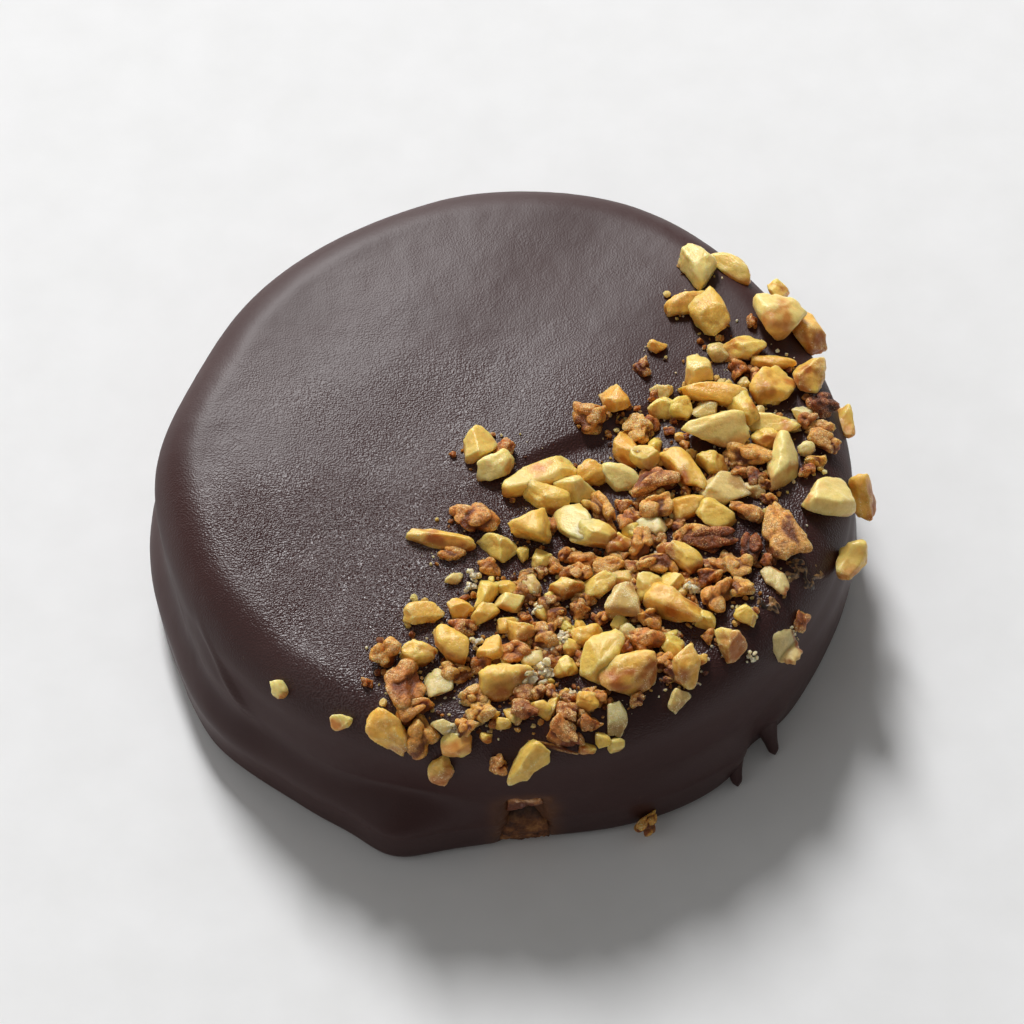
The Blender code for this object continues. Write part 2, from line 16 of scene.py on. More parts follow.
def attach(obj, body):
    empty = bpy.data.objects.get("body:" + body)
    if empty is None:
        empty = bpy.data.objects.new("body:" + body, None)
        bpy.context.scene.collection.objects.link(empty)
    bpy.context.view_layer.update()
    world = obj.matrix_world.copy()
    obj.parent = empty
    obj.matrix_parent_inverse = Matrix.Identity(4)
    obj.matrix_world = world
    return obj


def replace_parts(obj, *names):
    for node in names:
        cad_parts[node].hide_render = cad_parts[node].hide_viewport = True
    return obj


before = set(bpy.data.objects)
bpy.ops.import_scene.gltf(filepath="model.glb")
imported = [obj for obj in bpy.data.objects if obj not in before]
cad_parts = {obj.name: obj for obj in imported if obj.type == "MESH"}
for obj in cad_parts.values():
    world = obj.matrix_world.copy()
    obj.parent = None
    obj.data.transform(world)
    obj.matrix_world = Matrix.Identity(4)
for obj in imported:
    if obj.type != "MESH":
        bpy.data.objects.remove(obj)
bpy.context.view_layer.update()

MM = 0.001

# Camera and light, metres and degrees. Each light: name, shape, sizes, power, colour, way to it, distance.
CAMERA_DISTANCE = 0.45
CAMERA_ELEVATION = 55.0
CAMERA_TARGET = (0.00077, 0.00564, 0.0)
CAMERA_LENS = 169.3
WHITE = (1.0, 1.0, 1.0)
LIGHTS = (("window", "ELLIPSE", 0.30, 0.58, 22.0, (1.0, 1.0, 1.01), (-4.6, 16.3, 16.2), 1.5),
          ("fill", "SQUARE", 0.5, 0.5, 0.42, WHITE, (-1.0, -0.45, 0.75), 0.6),
          ("low_glow", "RECTANGLE", 1.4, 0.6, 6.5, WHITE, (-0.33, 0.9, 0.31), 1.5))
SKY_COLOUR = (1.0, 0.99, 0.97, 1.0)
SKY_STRENGTH = 0.19
FLOOR_HALF = 1.2

# The coat's half section.
FOOT_RADIUS = 32.2
FOOT_ROUND = 1.5
FOOT_TUCK = 0.3
WAIST_RADIUS = 31.0
WAIST_HEIGHT = 8.3
BULGE_HEIGHT = 4.4
BROW_RADIUS = 31.2
BROW_HEIGHT = 11.7
SHOULDER_ROUND = 4.5
TOP_RADIUS = BROW_RADIUS - SHOULDER_ROUND
TOP_HEIGHT = BROW_HEIGHT + SHOULDER_ROUND
DOME_RISE = 0.3

# Uneven outline: (direction in degrees, spread in degrees, swelling in mm) of each soft lobe, by height.
FOOT_LOBES = ((75, 30, 0.4), (185, 12, 0.35), (219, 10, 1.2), (242, 6, 0.7), (253, 4.5, 1.8), (261, 5, 0.2),
              (276, 9, -1.3), (292, 8, -0.4), (317, 4, -1.05), (332, 12, -0.75), (0, 12, 0.3))
WAIST_LOBES = ((0, 25, 0.9), (80, 40, 1.4), (218, 8, 0.8), (242, 5, 0.3), (258, 6, -0.3))
BROW_LOBES = ((5, 14, 0.5), (40, 14, 0.5), (68, 11, 0.9), (80, 28, 1.9), (95, 9, 0.25),
              (113, 9, -0.2), (157, 9, -0.45), (178, 9, 0.5), (270, 45, -0.2))
COAT_RELIEF = ((0.045, 4.5, 11), (0.016, 1.5, 12), (0.006, 0.6, 13))

# Slow waves of the top, and a shallow fold across it.
WAVE_RISES = (0.16, 0.08)
FOLD_MIDDLE = (7.0, 3.2)
FOLD_TURN = math.radians(28.0)
FOLD_HALF_LENGTH = 8.5
FOLD_DROP = 0.7
FOLD_WIDTH = 1.8
FOLD_RECOVERY = 9.0

# Spacing of the grids: (share of the section, mm) for each stretch of the coat, its rows on the base, and
# the degrees from one direction to the next across the bare spot and elsewhere, for coat and layers.
SECTION_STRETCHES = ((0.20, 0.15), (0.42, 0.34), (1.0, 0.47))
BASE_ROWS = 8
COAT_DIRECTIONS = (0.21, 0.62)
LAYER_DIRECTIONS = (0.17, 3.0)
SPOT_SPREAD = 5.5

# The bare spot in the coat and the layers behind it.
SPOT_X = 1.9
SPOT_HALF_WIDTH = 2.1
SPOT_TOP = 8.8
SPOT_LIP = 0.62
SPOT_CORNER = 1.1
SPOT_LEAN = 0.30
SPOT_FLOOR = 29.9
SPOT_EDGE = (-0.35, 1.5)
SPOT_RAGGED = ((0.22, 1.0, 5), (0.10, 0.4, 6))
SPOT_FLOOR_RELIEF = ((0.25, 0.8, 14),)
OUTSIDE = -99.0
LAYER_RADIUS = 28.3
LAYER_ROUND = 0.5
LAYER_RAGGED = 0.30
LAYER_CRUMB = ((1.0, 0.9, 0), (0.7, 0.42, 1), (0.4, 0.2, 2))
BISCUIT_HEIGHTS = (1.5, 6.2)
FILLING_HEIGHTS = (6.5, 8.2)
BISCUIT_FACE = ((27.65, 1.6), (27.75, 0.3), (29.6, 0.3), (30.4, 0.8), (30.8, 1.6),
                (30.9, 2.8), (30.6, 4.2), (29.9, 5.2), (28.8, 5.9))
FILLING_FACE = ((30.3, 6.55), (30.75, 6.9), (30.8, 7.7), (30.4, 8.1))
# Each layer's tongue: half width, roughness, seed, narrowing at its top, droop at its left.
BISCUIT_TONGUE = (2.5, 0.16, 41, 1.5, 0.0)
FILLING_TONGUE = (1.85, 0.14, 51, 0.0, 0.9)

# Each drip: direction and height of its root, direction and radius of its tip.
DRIPS = ((312.2, 3.5, 310.6, 32.25), (320.3, 3.8, 319.1, 32.3))
DRIP_ROOT_RADIUS = 30.3
DRIP_HALF_WIDTHS = (2.2, 0.5)
DRIP_HALF_HEIGHTS = (1.3, 0.42)
DRIP_NARROWING = 1.7
DRIP_TIP_HEIGHT = 0.55
DRIP_SUNK = 1.3
DRIP_BLUNT_END = 0.25
DRIP_CAP = 0.32
DRIP_RINGS = 40
DRIP_SIDES = 28
DRIP_GRAIN = 0.15
DRIP_MATT = 0.5
FLARE_RISE = 0.55
FLARE_SPREAD = 2.6
FLARE_HEIGHT = 2.0

# Sagging lumps on the wall: direction and spread in degrees, height, reach up and down, least share.
LUMPS = ((0.16, 5.0, 17), (0.10, 2.6, 18))
LUMPS_MIDDLE = 212.0
LUMPS_SPREAD = 22.0
LUMPS_HEIGHT = 9.0
LUMPS_REACH = 2.2
LUMPS_LEAST = 0.6

# Folds in the wall on the left of the front: direction and spread in degrees, height, half length, rise.
# Each leans forward as it goes down, by so many degrees for each mm, and is steeper on its front side.
WALL_FOLDS = ((215.0, 2.6, 11.4, 1.5, 0.30), (221.0, 2.2, 9.7, 1.4, 0.36), (203.0, 4.0, 8.6, 2.2, 0.08))
FOLD_LEAN = 3.2
FOLD_STEEPNESS = 2.6

PIMPLE_SIZE = 0.16
PIMPLE_DEPTH = 0.135
PIMPLE_SHINE = 0.25

# Nut pieces: x, y, long, wide, high, turn about the upright in degrees[, height of the middle].
PALE_NUTS = (
    (18.2, 21.7, 4.4, 3.0, 2.4, -50), (21.0, 22.0, 4.2, 2.0, 1.7, -25), (17.5, 9.5, 2.8, 2.6, 2.0, 0),
    (25.5, 16.1, 4.9, 4.2, 3.0, 15, 16.5), (24.6, 3.6, 4.5, 2.4, 1.8, -5),
    (18.8, 2.6, 6.1, 3.3, 2.4, 8, 17.6), (12.7, -0.3, 2.6, 1.9, 1.8, -10, 17.1),
    (10.4, -2.1, 3.6, 2.3, 1.8, 5), (6.4, -3.6, 3.6, 2.5, 2.2, -15), (25.2, -0.6, 5.3, 2.6, 2.4, 75),
    (29.3, -4.1, 6.0, 3.5, 2.8, 34, 16.0), (31.2, -9.1, 3.5, 2.7, 2.4, 80, 13.2),
    (3.3, -2.1, 7.4, 2.4, 2.2, 22), (6.3, -7.5, 4.6, 2.9, 2.4, -60), (8.1, -9.0, 3.8, 2.2, 2.0, -15, 17.6),
    (-2.2, 0.9, 3.3, 2.7, 2.4, 40), (-0.7, -1.5, 3.2, 2.3, 2.0, 35), (0.4, -15.8, 3.4, 1.9, 1.7, 8),
    (-3.7, -29.8, 3.2, 2.0, 1.4, 0, 15.2), (9.9, -29.0, 2.0, 1.7, 1.0, -30, 14.1),
    (3.4, -11.2, 2.0, 1.8, 1.5, -20), (24.8, -19.0, 4.1, 3.2, 1.4, 70, 13.0),
    (24.1, -13.1, 3.4, 1.9, 0.9, -48), (12.8, -14.1, 2.5, 2.3, 1.6, 0),
    (-19.8, -23.4, 1.8, 1.4, 1.3, -70, 14.5), (-14.0, -27.0, 1.9, 1.3, 1.1, 5, 14.7),
    (31.2, 6.3, 3.2, 1.8, 1.8, 85, 13.0))
GOLD_NUTS = (
    (16.8, 17.1, 3.8, 2.2, 1.8, 25), (18.9, 16.0, 5.0, 3.0, 2.6, -60), (22.0, 12.3, 3.9, 2.4, 2.0, -5),
    (24.7, 10.8, 3.9, 1.4, 1.4, 0), (24.5, 7.8, 3.9, 3.3, 2.4, 50), (27.5, 9.4, 4.3, 2.8, 2.4, 70),
    (27.9, 15.8, 4.3, 3.0, 2.4, -65, 14.5), (25.4, 20.2, 2.4, 2.0, 1.8, 0, 14.5),
    (9.9, 5.8, 3.1, 2.2, 2.0, -60), (18.6, 7.0, 6.1, 1.9, 2.0, -12), (21.7, 5.0, 3.3, 2.0, 2.2, -65),
    (11.1, 0.9, 4.3, 2.5, 2.4, -50), (16.2, -1.6, 5.1, 2.4, 2.0, -52), (18.6, -0.6, 3.3, 2.2, 1.9, -10),
    (7.8, -1.6, 2.6, 2.5, 2.0, 30), (16.3, -5.4, 3.1, 2.1, 1.8, 15), (18.8, -6.6, 3.3, 2.9, 2.2, 20),
    (32.4, -1.8, 4.0, 2.4, 2.6, -60, 12.6), (4.1, -4.9, 4.6, 2.2, 2.0, -25),
    (2.5, -7.9, 3.9, 3.4, 2.8, -20), (-0.3, -10.0, 3.1, 2.2, 1.8, -45), (-5.4, -9.2, 5.6, 1.7, 1.7, -12),
    (-1.7, -14.9, 3.6, 1.7, 1.7, 65), (-1.8, -17.3, 2.6, 1.7, 1.5, 45), (-4.3, -20.5, 3.6, 3.1, 2.6, -20),
    (0.2, -24.1, 4.7, 3.1, 2.6, 5), (-7.4, -21.4, 2.9, 2.1, 1.8, -20),
    (-9.9, -28.4, 4.0, 3.0, 2.4, -50, 15.5), (-5.4, -30.8, 2.4, 1.7, 1.4, 50, 13.0),
    (7.4, -19.5, 2.5, 1.9, 1.7, 20), (2.1, -30.8, 4.2, 2.5, 1.8, 45, 14.0), (8.6, -21.4, 4.6, 3.2, 2.8, 65),
    (11.2, -23.2, 5.5, 3.4, 2.8, 12), (15.9, -22.1, 3.4, 2.6, 2.2, 65), (19.9, -19.8, 2.8, 2.3, 2.0, -70),
    (15.8, -11.1, 3.3, 1.9, 2.0, -40), (15.1, -16.5, 5.0, 2.7, 2.4, -28), (5.3, -14.3, 3.5, 2.0, 2.0, 5),
    (8.4, -13.9, 3.3, 2.1, 2.0, 40), (-6.9, -17.3, 3.4, 2.1, 1.7, 5), (-3.8, -16.5, 2.2, 1.8, 1.6, 0),
    (7.3, -26.1, 2.1, 1.8, 1.6, 0), (5.4, -22.6, 2.4, 2.0, 1.9, 0), (14.1, 12.2, 1.5, 1.2, 1.2, 0),
    (21.3, -17.0, 2.1, 1.6, 1.5, -20), (15.0, -13.6, 2.1, 1.8, 1.7, 0), (10.4, -9.6, 2.4, 2.0, 1.9, 0),
    (14.3, 5.6, 2.2, 1.8, 1.7, 10), (16.1, 5.5, 2.2, 2.0, 1.8, 0), (1.3, -18.8, 2.5, 2.2, 2.0, 0),
    (-0.9, -20.7, 2.5, 2.0, 2.0, 70))
ROAST_NUTS = (
    (8.0, 4.0, 2.8, 2.4, 1.8, 0), (12.1, 3.1, 2.5, 2.3, 1.9, 0), (13.3, -2.7, 3.8, 2.4, 2.2, 35),
    (8.9, -5.9, 3.6, 2.0, 1.9, -68), (13.7, -5.6, 2.8, 2.2, 1.9, 20), (21.5, -5.8, 2.9, 1.7, 1.5, -25),
    (22.1, 0.0, 4.0, 2.3, 1.8, 0), (24.6, -8.3, 5.4, 2.8, 2.4, -75), (-2.4, -7.0, 4.0, 2.6, 2.2, 5),
    (-8.5, -24.5, 3.9, 3.1, 2.2, 60), (-10.3, -21.5, 2.8, 2.1, 2.2, 80), (3.4, -19.4, 2.5, 2.3, 2.0, 10),
    (-7.5, -26.6, 2.8, 1.9, 1.7, 10), (-7.1, -28.7, 3.1, 2.6, 2.2, -60, 15.5),
    (5.3, -28.8, 3.2, 2.4, 2.2, -45, 15.9), (12.1, -19.8, 3.1, 2.4, 2.0, -45),
    (12.7, -17.5, 1.9, 1.8, 1.7, 0), (18.8, -15.0, 3.1, 2.4, 2.1, 80), (18.0, -13.3, 2.3, 1.5, 1.5, 10),
    (20.7, -11.9, 2.3, 2.1, 1.8, 0), (20.8, -14.3, 2.1, 1.7, 1.6, -20), (13.5, -11.5, 2.8, 2.0, 1.8, 10),
    (12.2, -9.5, 3.0, 2.1, 2.1, 80), (7.2, -11.3, 2.5, 1.4, 1.4, -5), (9.5, -11.9, 2.6, 2.0, 1.7, 0),
    (6.9, -12.9, 1.8, 1.7, 1.6, 0), (0.9, -21.0, 2.6, 2.0, 1.9, 10), (-3.9, -23.1, 2.7, 1.5, 1.3, 0),
    (-2.7, -25.8, 2.2, 1.6, 1.5, 0), (-2.0, -27.1, 2.2, 1.6, 1.5, 20), (-3.3, -28.2, 1.7, 1.6, 1.5, 0),
    (-0.4, -30.8, 1.6, 1.5, 1.4, 0, 13.8), (14.1, -21.9, 1.7, 1.6, 1.4, 10),
    (12.8, -29.5, 2.2, 1.6, 1.6, 75, 2.0), (29.0, 1.8, 2.9, 1.6, 1.5, -15), (28.5, 3.4, 2.2, 1.1, 1.2, 5),
    (28.1, -0.2, 1.6, 1.2, 1.2, -20), (11.4, -7.2, 2.1, 1.7, 1.6, 0), (16.8, -8.2, 2.3, 1.5, 1.4, 10))
DARK_NUTS = (
    (29.0, 6.4, 2.6, 2.4, 1.6, 0, 16.0), (18.4, -9.2, 5.3, 1.7, 1.6, -6), (22.1, -10.2, 3.0, 1.8, 1.7, 85))
CLEAR_NUTS = (
    (19.6, -3.6, 4.5, 3.2, 1.8, 0), (13.6, -7.6, 3.0, 2.2, 1.3, -25), (19.8, 11.9, 2.5, 1.9, 1.2, 0),
    (-5.7, -24.1, 3.6, 2.2, 1.0, -60), (9.9, -27.0, 3.4, 1.5, 0.8, -80), (10.5, -15.9, 3.3, 3.1, 2.2, 0),
    (15.1, -24.9, 2.1, 1.7, 1.0, 60), (18.3, 5.3, 2.3, 1.4, 1.2, 0), (2.6, -21.8, 1.8, 1.7, 1.3, 0),
    (-5.3, -28.1, 1.8, 1.3, 0.9, 0))

# Smaller pieces that the solid leaves out, with the same columns.
SMALL_ROAST = (
    (27.3, -1.4, 1.3, 1.2, 1.1, 0), (21.5, 9.9, 1.9, 1.7, 1.5, 30), (13.3, 3.9, 1.5, 1.5, 1.4, 0),
    (27.4, 4.0, 1.6, 1.4, 1.2, 0), (21.3, -1.6, 2.0, 1.4, 1.2, 0), (22.6, -2.4, 1.7, 1.6, 1.3, 0),
    (23.8, -4.6, 1.6, 1.1, 1.0, -50), (23.3, -11.2, 1.2, 1.2, 1.0, 0), (18.9, -12.0, 1.6, 1.4, 1.3, 0),
    (11.7, -11.9, 1.8, 1.5, 1.4, 0), (26.0, -15.9, 2.0, 1.4, 1.0, 80), (0.05, 0.6, 2.0, 1.5, 1.3, 30),
    (-4.6, -10.7, 2.0, 1.2, 1.1, -10), (1.6, -13.7, 1.3, 1.3, 1.2, 0), (5.8, -12.5, 1.6, 1.3, 1.2, 0),
    (4.6, -17.0, 1.8, 1.1, 1.1, 20), (6.7, -16.5, 2.0, 1.6, 1.4, 0), (-3.5, -18.3, 2.3, 1.6, 1.5, -10),
    (-2.0, -22.2, 1.7, 1.5, 1.3, 0), (1.6, -25.5, 1.9, 1.5, 1.4, 0), (3.0, -25.4, 1.5, 1.1, 1.2, 70),
    (2.0, -27.0, 2.2, 1.6, 1.4, 0), (5.6, -27.3, 1.9, 1.8, 1.5, 0), (7.5, -27.8, 1.9, 1.4, 1.2, 0),
    (8.4, -25.6, 1.5, 1.2, 1.2, 0), (4.1, -29.5, 4.1, 0.42, 0.36, -16, 14.85))
SMALL_GOLD = (
    (13.6, 1.3, 2.0, 1.1, 1.2, 80), (19.6, 7.9, 1.8, 1.2, 1.2, 0), (24.0, 2.0, 3.0, 1.6, 1.6, -30),
    (11.9, -8.5, 1.6, 1.3, 1.3, 0), (14.7, -9.8, 2.2, 1.2, 1.2, 10), (17.7, -17.5, 1.8, 1.6, 1.4, 0),
    (14.8, -20.4, 1.9, 1.8, 1.5, 0), (17.3, -21.5, 1.1, 1.1, 1.0, 0), (1.8, -10.5, 1.2, 1.1, 1.0, 30),
    (0.2, -14.2, 1.9, 1.6, 1.4, 0), (10.4, -13.6, 2.2, 1.6, 1.5, 0), (0.2, -18.1, 1.9, 1.4, 1.3, 0),
    (5.8, -20.6, 1.9, 1.4, 1.3, -30), (3.4, -26.9, 2.2, 1.3, 1.2, -40), (4.3, -26.3, 2.2, 1.0, 1.2, 60),
    (7.3, -29.3, 1.4, 1.1, 1.0, 0), (8.5, -28.8, 1.5, 1.3, 1.1, 0), (-1.5, -29.0, 1.1, 1.1, 1.0, 0))
SMALL_CLEAR = (
    (14.5, 7.1, 1.9, 1.6, 1.3, 30), (22.0, 8.4, 1.2, 1.1, 0.9, 0), (21.4, 7.3, 1.4, 1.2, 0.9, 0),
    (27.0, 5.0, 1.9, 1.5, 1.1, 0), (22.9, 4.9, 1.6, 1.4, 1.2, 0), (26.2, 3.6, 1.6, 1.2, 1.0, 0),
    (27.2, 0.9, 1.7, 1.3, 1.2, 0), (22.2, -3.6, 2.2, 1.3, 1.2, -20), (11.0, -18.8, 2.0, 1.3, 1.2, -20),
    (-4.4, -13.3, 1.6, 1.0, 0.9, 25), (2.6, -14.0, 1.9, 1.6, 1.3, -60))

# Little heaps of sugar grains: x, y, size. Then the grains in each, how far they spread and rise as shares
# of its size, and the seeds of their places and shapes.
SUGAR_HEAPS = (
    (3.6, -22.6, 1.2), (2.3, -23.9, 1.3), (5.0, -20.0, 1.0), (16.5, -14.4, 0.9), (-2.3, -20.2, 0.8),
    (4.1, -21.0, 0.9), (5.4, -19.3, 0.6), (-4.2, -28.4, 0.7), (-3.5, -28.9, 0.6), (-2.7, -13.1, 0.8),
    (-2.8, -14.2, 0.7), (3.1, -16.4, 0.8), (21.6, -20.5, 0.6), (25.8, -17.0, 0.5), (5.9, -25.3, 0.8))
HEAP_GRAINS = 14
HEAP_SPREAD = 0.36
HEAP_RISE = 1.1
HEAP_SEEDS = (65, 66)

# Burnt flakes on the coat: x, y, long, wide, turn in radians, seed.
FLAKES = (
    (26.5, -11.8, 3.4, 2.4, 0.5, 71), (23.5, -15.5, 2.3, 1.5, -0.3, 81), (25.2, -10.0, 1.4, 0.8, 0.9, 91))
FLAKE_RINGS = 14
FLAKE_SIDES = 56
FLAKE_RAGGED = ((0.30, 0.55, 0), (0.22, 0.22, 1))

# Thin pale shards: x, y, long, wide, thick, turn in degrees, lift of the middle, seed.
SHARDS = ((24.8, -18.4, 3.6, 3.0, 0.45, 80.0, 0.35, 121), (24.0, -13.0, 3.2, 1.9, 0.40, -50.0, 0.25, 133))
SHARD_RINGS = 22
SHARD_SIDES = 56
SHARD_CUTS = 6
SHARD_RAGGED = ((0.10, 0.22, 0),)
SHARD_DISH = ((0.22, 1.5, 1), (0.07, 0.6, 2))

# Browned places on the nuts: x, y, radius, strength.
SCORCHES = (
    (18.9, 16.3, 1.3, 0.6), (27.5, 9.4, 0.6, 1.0), (25.2, -0.4, 0.9, 0.5), (13.5, -23.4, 1.2, 0.8),
    (25.2, -8.9, 1.5, 0.5), (26.9, -4.6, 0.6, 0.9), (31.2, -9.1, 2.2, 0.35), (31.2, -11.5, 1.0, 0.6))

# Bits: a few along the spine of the band of nuts, and more in patches (x, y, spread) where they lie thick.
# Each kind of bit: count, places tried, lengths, seed.
BAND_SPINE = ((21.0, 17.0), (20.5, 4.0), (12.0, -8.0), (4.0, -19.0), (-5.0, -25.0))
BAND_SPREAD = 4.2
BAND_MARGIN = 3.5
BAND_BITS = (10, 12, (1.2, 1.9), 77)
PATCHES = ((14.0, -10.0, 4.0), (3.0, -23.0, 3.2), (18.5, 2.0, 3.2), (9.0, -17.0, 3.6))
PATCH_MARGIN = 3.2
PATCH_BITS = (120, 5, (0.8, 1.6), 78)
BIT_WIDTHS = (0.7, 0.95)
BIT_HEIGHTS = (0.6, 0.85)

# Nuts: share sunk in, growth over the solid's blocks, how crisply box and cuts meet, cuts as (count, depths,
# upright share), greatest tilt in degrees, taper and bend, unevenness, browning, knobs and edges.
NUT_SUNK = 0.22
NUT_GROWTH = 1.09
NUT_ROUNDING = 24.0
PILLOW_ROUNDING = 3.6
CHIP_ROUNDING = 34.0
NUT_CUTS = (5, (0.55, 0.92), 1.0)
SMALL_CHIPS = (5, (0.74, 1.0), 0.6)
NUT_TILT = 12.0
NUT_TAPER = 0.40
NUT_BEND = 0.30
NUT_GRAIN = ((1.0, 1.3, 22), (0.8, 0.7, 23), (0.5, 0.36, 24))
NUT_BROWNING = ((0.85, 1.6, 31), (0.35, 0.6, 32))
KNOBS = 20
KNOB_SPREAD = 0.58
KNOB_MEAN = 0.62
EDGE_NEARNESS = 0.86

# Seeds of each nut's cuts, of its colour guides and of its small chips and knobs; its own number is added.
CUT_SEED = 400
GUIDE_SEED = 1400
CHIP_SEED = 2400

# Each kind of nut: its piece, finish, rings, sides, height of its knobs, fine unevenness.
NUT_KINDS = (("pale_nuts", "pale_nut", 34, 52, 0.05, 0.090),
             ("golden_nuts", "golden_nut", 30, 46, 0.09, 0.105),
             ("roasted_nuts", "roasted_nut", 32, 48, 0.46, 0.10),
             ("dark_nuts", "dark_nut", 32, 48, 0.40, 0.17),
             ("clear_nuts", "clear_nut", 30, 46, 0.12, 0.07),
             ("small_golden_nuts", "golden_nut", 18, 28, 0.12, 0.06),
             ("small_roasted_nuts", "small_roasted_nut", 18, 28, 0.40, 0.09),
             ("small_clear_nuts", "clear_nut", 18, 28, 0.15, 0.06))

# Each kind of crumb: its piece, finish, count, wander from the nuts, least and greatest size, seed.
CRUMB_KINDS = (("brown_crumbs", "brown_crumb", 480, 0.75, 0.3, 1.0, 61),
               ("golden_crumbs", "golden_crumb", 260, 0.7, 0.25, 0.9, 62),
               ("dark_crumbs", "dark_crumb", 110, 0.9, 0.25, 0.7, 63),
               ("sugar_crumbs", "sugar_grain", 700, 0.8, 0.10, 0.45, 64))
# Grid and cuts of each crumb, rise of its middle as a share of its size, margin kept at the rim of the top,
# and the power that makes small crumbs the most.
CRUMB_RINGS = 5
CRUMB_SIDES = 8
CRUMB_CUTS = 9
CRUMB_RISE = 0.22
CRUMB_MARGIN = 2.0
CRUMB_SMALLNESS = 1.8

# Soft inner glow of nuts and crumbs: its share, its scale in metres, its reach in red, green and blue.
GLOW = 0.50
GLOW_SCALE = 0.0016
GLOW_REACH = (1.0, 0.62, 0.30)

# Finishes: light tone, deep tone, the brown of browning and painted shade, crest and sugar colours, then the
# shares of browning with painted shade and of crest, how much painted shade darkens the pits, mottling,
# share of sugar grains, depth of the sandy grain, roughness and shine.
CREAM = (0.92, 0.79, 0.43)
SAND = (0.90, 0.56, 0.20)
TAN = (0.95, 0.70, 0.36)
FROST = (0.90, 0.76, 0.46)
FINISHES = {
    "pale_nut": ((0.88, 0.70, 0.25), (0.87, 0.57, 0.125), (0.60, 0.195, 0.024), CREAM, FROST,
                 0.84, 0.28, 0.3, 0.12, 0.20, 0.6, 0.30, 0.4),
    "golden_nut": ((0.89, 0.61, 0.130), (0.84, 0.42, 0.058), (0.45, 0.110, 0.012), CREAM, FROST,
                   0.90, 0.28, 0.3, 0.18, 0.23, 0.8, 0.32, 0.4),
    "roasted_nut": ((0.84, 0.39, 0.070), (0.56, 0.180, 0.027), (0.16, 0.029, 0.005), SAND, TAN,
                    0.88, 0.6, 1.6, 0.6, 0.30, 2.0, 0.40, 0.45),
    "small_roasted_nut": ((0.68, 0.27, 0.045), (0.42, 0.115, 0.018), (0.13, 0.024, 0.005), SAND, TAN,
                          0.88, 0.5, 1.3, 0.6, 0.29, 2.0, 0.40, 0.45),
    "dark_nut": ((0.28, 0.070, 0.013), (0.13, 0.027, 0.005), (0.025, 0.005, 0.002), (0.46, 0.15, 0.032),
                 (0.72, 0.40, 0.16), 0.8, 0.6, 1.6, 0.7, 0.32, 2.4, 0.4, 0.4),
    "clear_nut": ((0.84, 0.65, 0.27), (0.70, 0.46, 0.14), (0.34, 0.11, 0.02), CREAM, FROST,
                  0.65, 0.35, 0.3, 0.18, 0.32, 0.6, 0.30, 0.3),
    "shard": ((0.88, 0.66, 0.28), (0.82, 0.52, 0.18), (0.40, 0.12, 0.02), (0.95, 0.82, 0.50), FROST,
              0.95, 0.3, 0.3, 0.2, 0.24, 0.9, 0.3, 0.45),
    "brown_crumb": ((0.58, 0.24, 0.045), (0.33, 0.092, 0.017), (0.11, 0.022, 0.005), (0.76, 0.44, 0.16),
                    (0.80, 0.50, 0.20), 0.8, 0.4, 0.8, 0.3, 0.28, 1.0, 0.5, 0.3),
    "golden_crumb": ((0.86, 0.64, 0.22), (0.74, 0.42, 0.09), (0.45, 0.16, 0.03), (0.9, 0.76, 0.45), FROST,
                     0.5, 0.4, 0.3, 0.3, 0.28, 1.0, 0.5, 0.3),
    "dark_crumb": ((0.10, 0.030, 0.015), (0.05, 0.016, 0.010), (0.02, 0.007, 0.005), (0.16, 0.06, 0.03),
                   FROST, 0.5, 0.4, 0.3, 0.3, 0.2, 1.0, 0.4, 0.3),
    "sugar_grain": ((0.93, 0.79, 0.50), (0.88, 0.64, 0.32), (0.66, 0.40, 0.16), (0.95, 0.86, 0.62),
                    (0.95, 0.85, 0.58), 0.3, 0.4, 0.3, 0.3, 0.28, 0.4, 0.25, 0.3)}

HASH_FACTORS = (73856093, 19349663, 83492791, 2654435761, 1274126177)
HASH_MASK = 0xFFFFF


def smooth(value, start, end):
    """0 below start, 1 above end, with a soft curve between."""
    t = np.clip((np.asarray(value, float) - start) / (end - start), 0.0, 1.0)
    return t * t * (3.0 - 2.0 * t)


def bell(away):
    """1 at 0, falling softly to both sides."""
    return np.exp(-away ** 2)


def lattice(corner, seed):
    """Even random number from 0 to 1 for each whole-numbered corner: a hash of its place and a seed."""
    x, y, z = (corner[..., axis].astype(np.int64) * HASH_FACTORS[axis] for axis in range(3))
    mixed = x ^ y ^ z ^ (seed * HASH_FACTORS[3])
    mixed = (mixed ^ (mixed >> 13)) * HASH_FACTORS[4]
    return ((mixed ^ (mixed >> 16)) & HASH_MASK) / float(HASH_MASK)


def noise(points, size, seed):
    """Smooth noise from -1 to 1: random numbers on a cubic lattice of one size, blended across each cell."""
    place = np.asarray(points, float) / size
    cell = np.floor(place)
    part = smooth(place - cell, 0.0, 1.0)
    total = np.zeros(place.shape[:-1])
    for corner in range(8):
        step = np.array([corner & 1, corner >> 1 & 1, corner >> 2 & 1])
        weight = np.prod(np.where(step == 1, part, 1.0 - part), axis=-1)
        total += weight * lattice(cell + step, seed)
    return total * 2.0 - 1.0


def uneven(points, layers, seed=0):
    """Sum of layers of noise, each (height, size, seed)."""
    return sum(height * noise(points, size, seed + own) for height, size, own in layers)


# ---- meshes ----

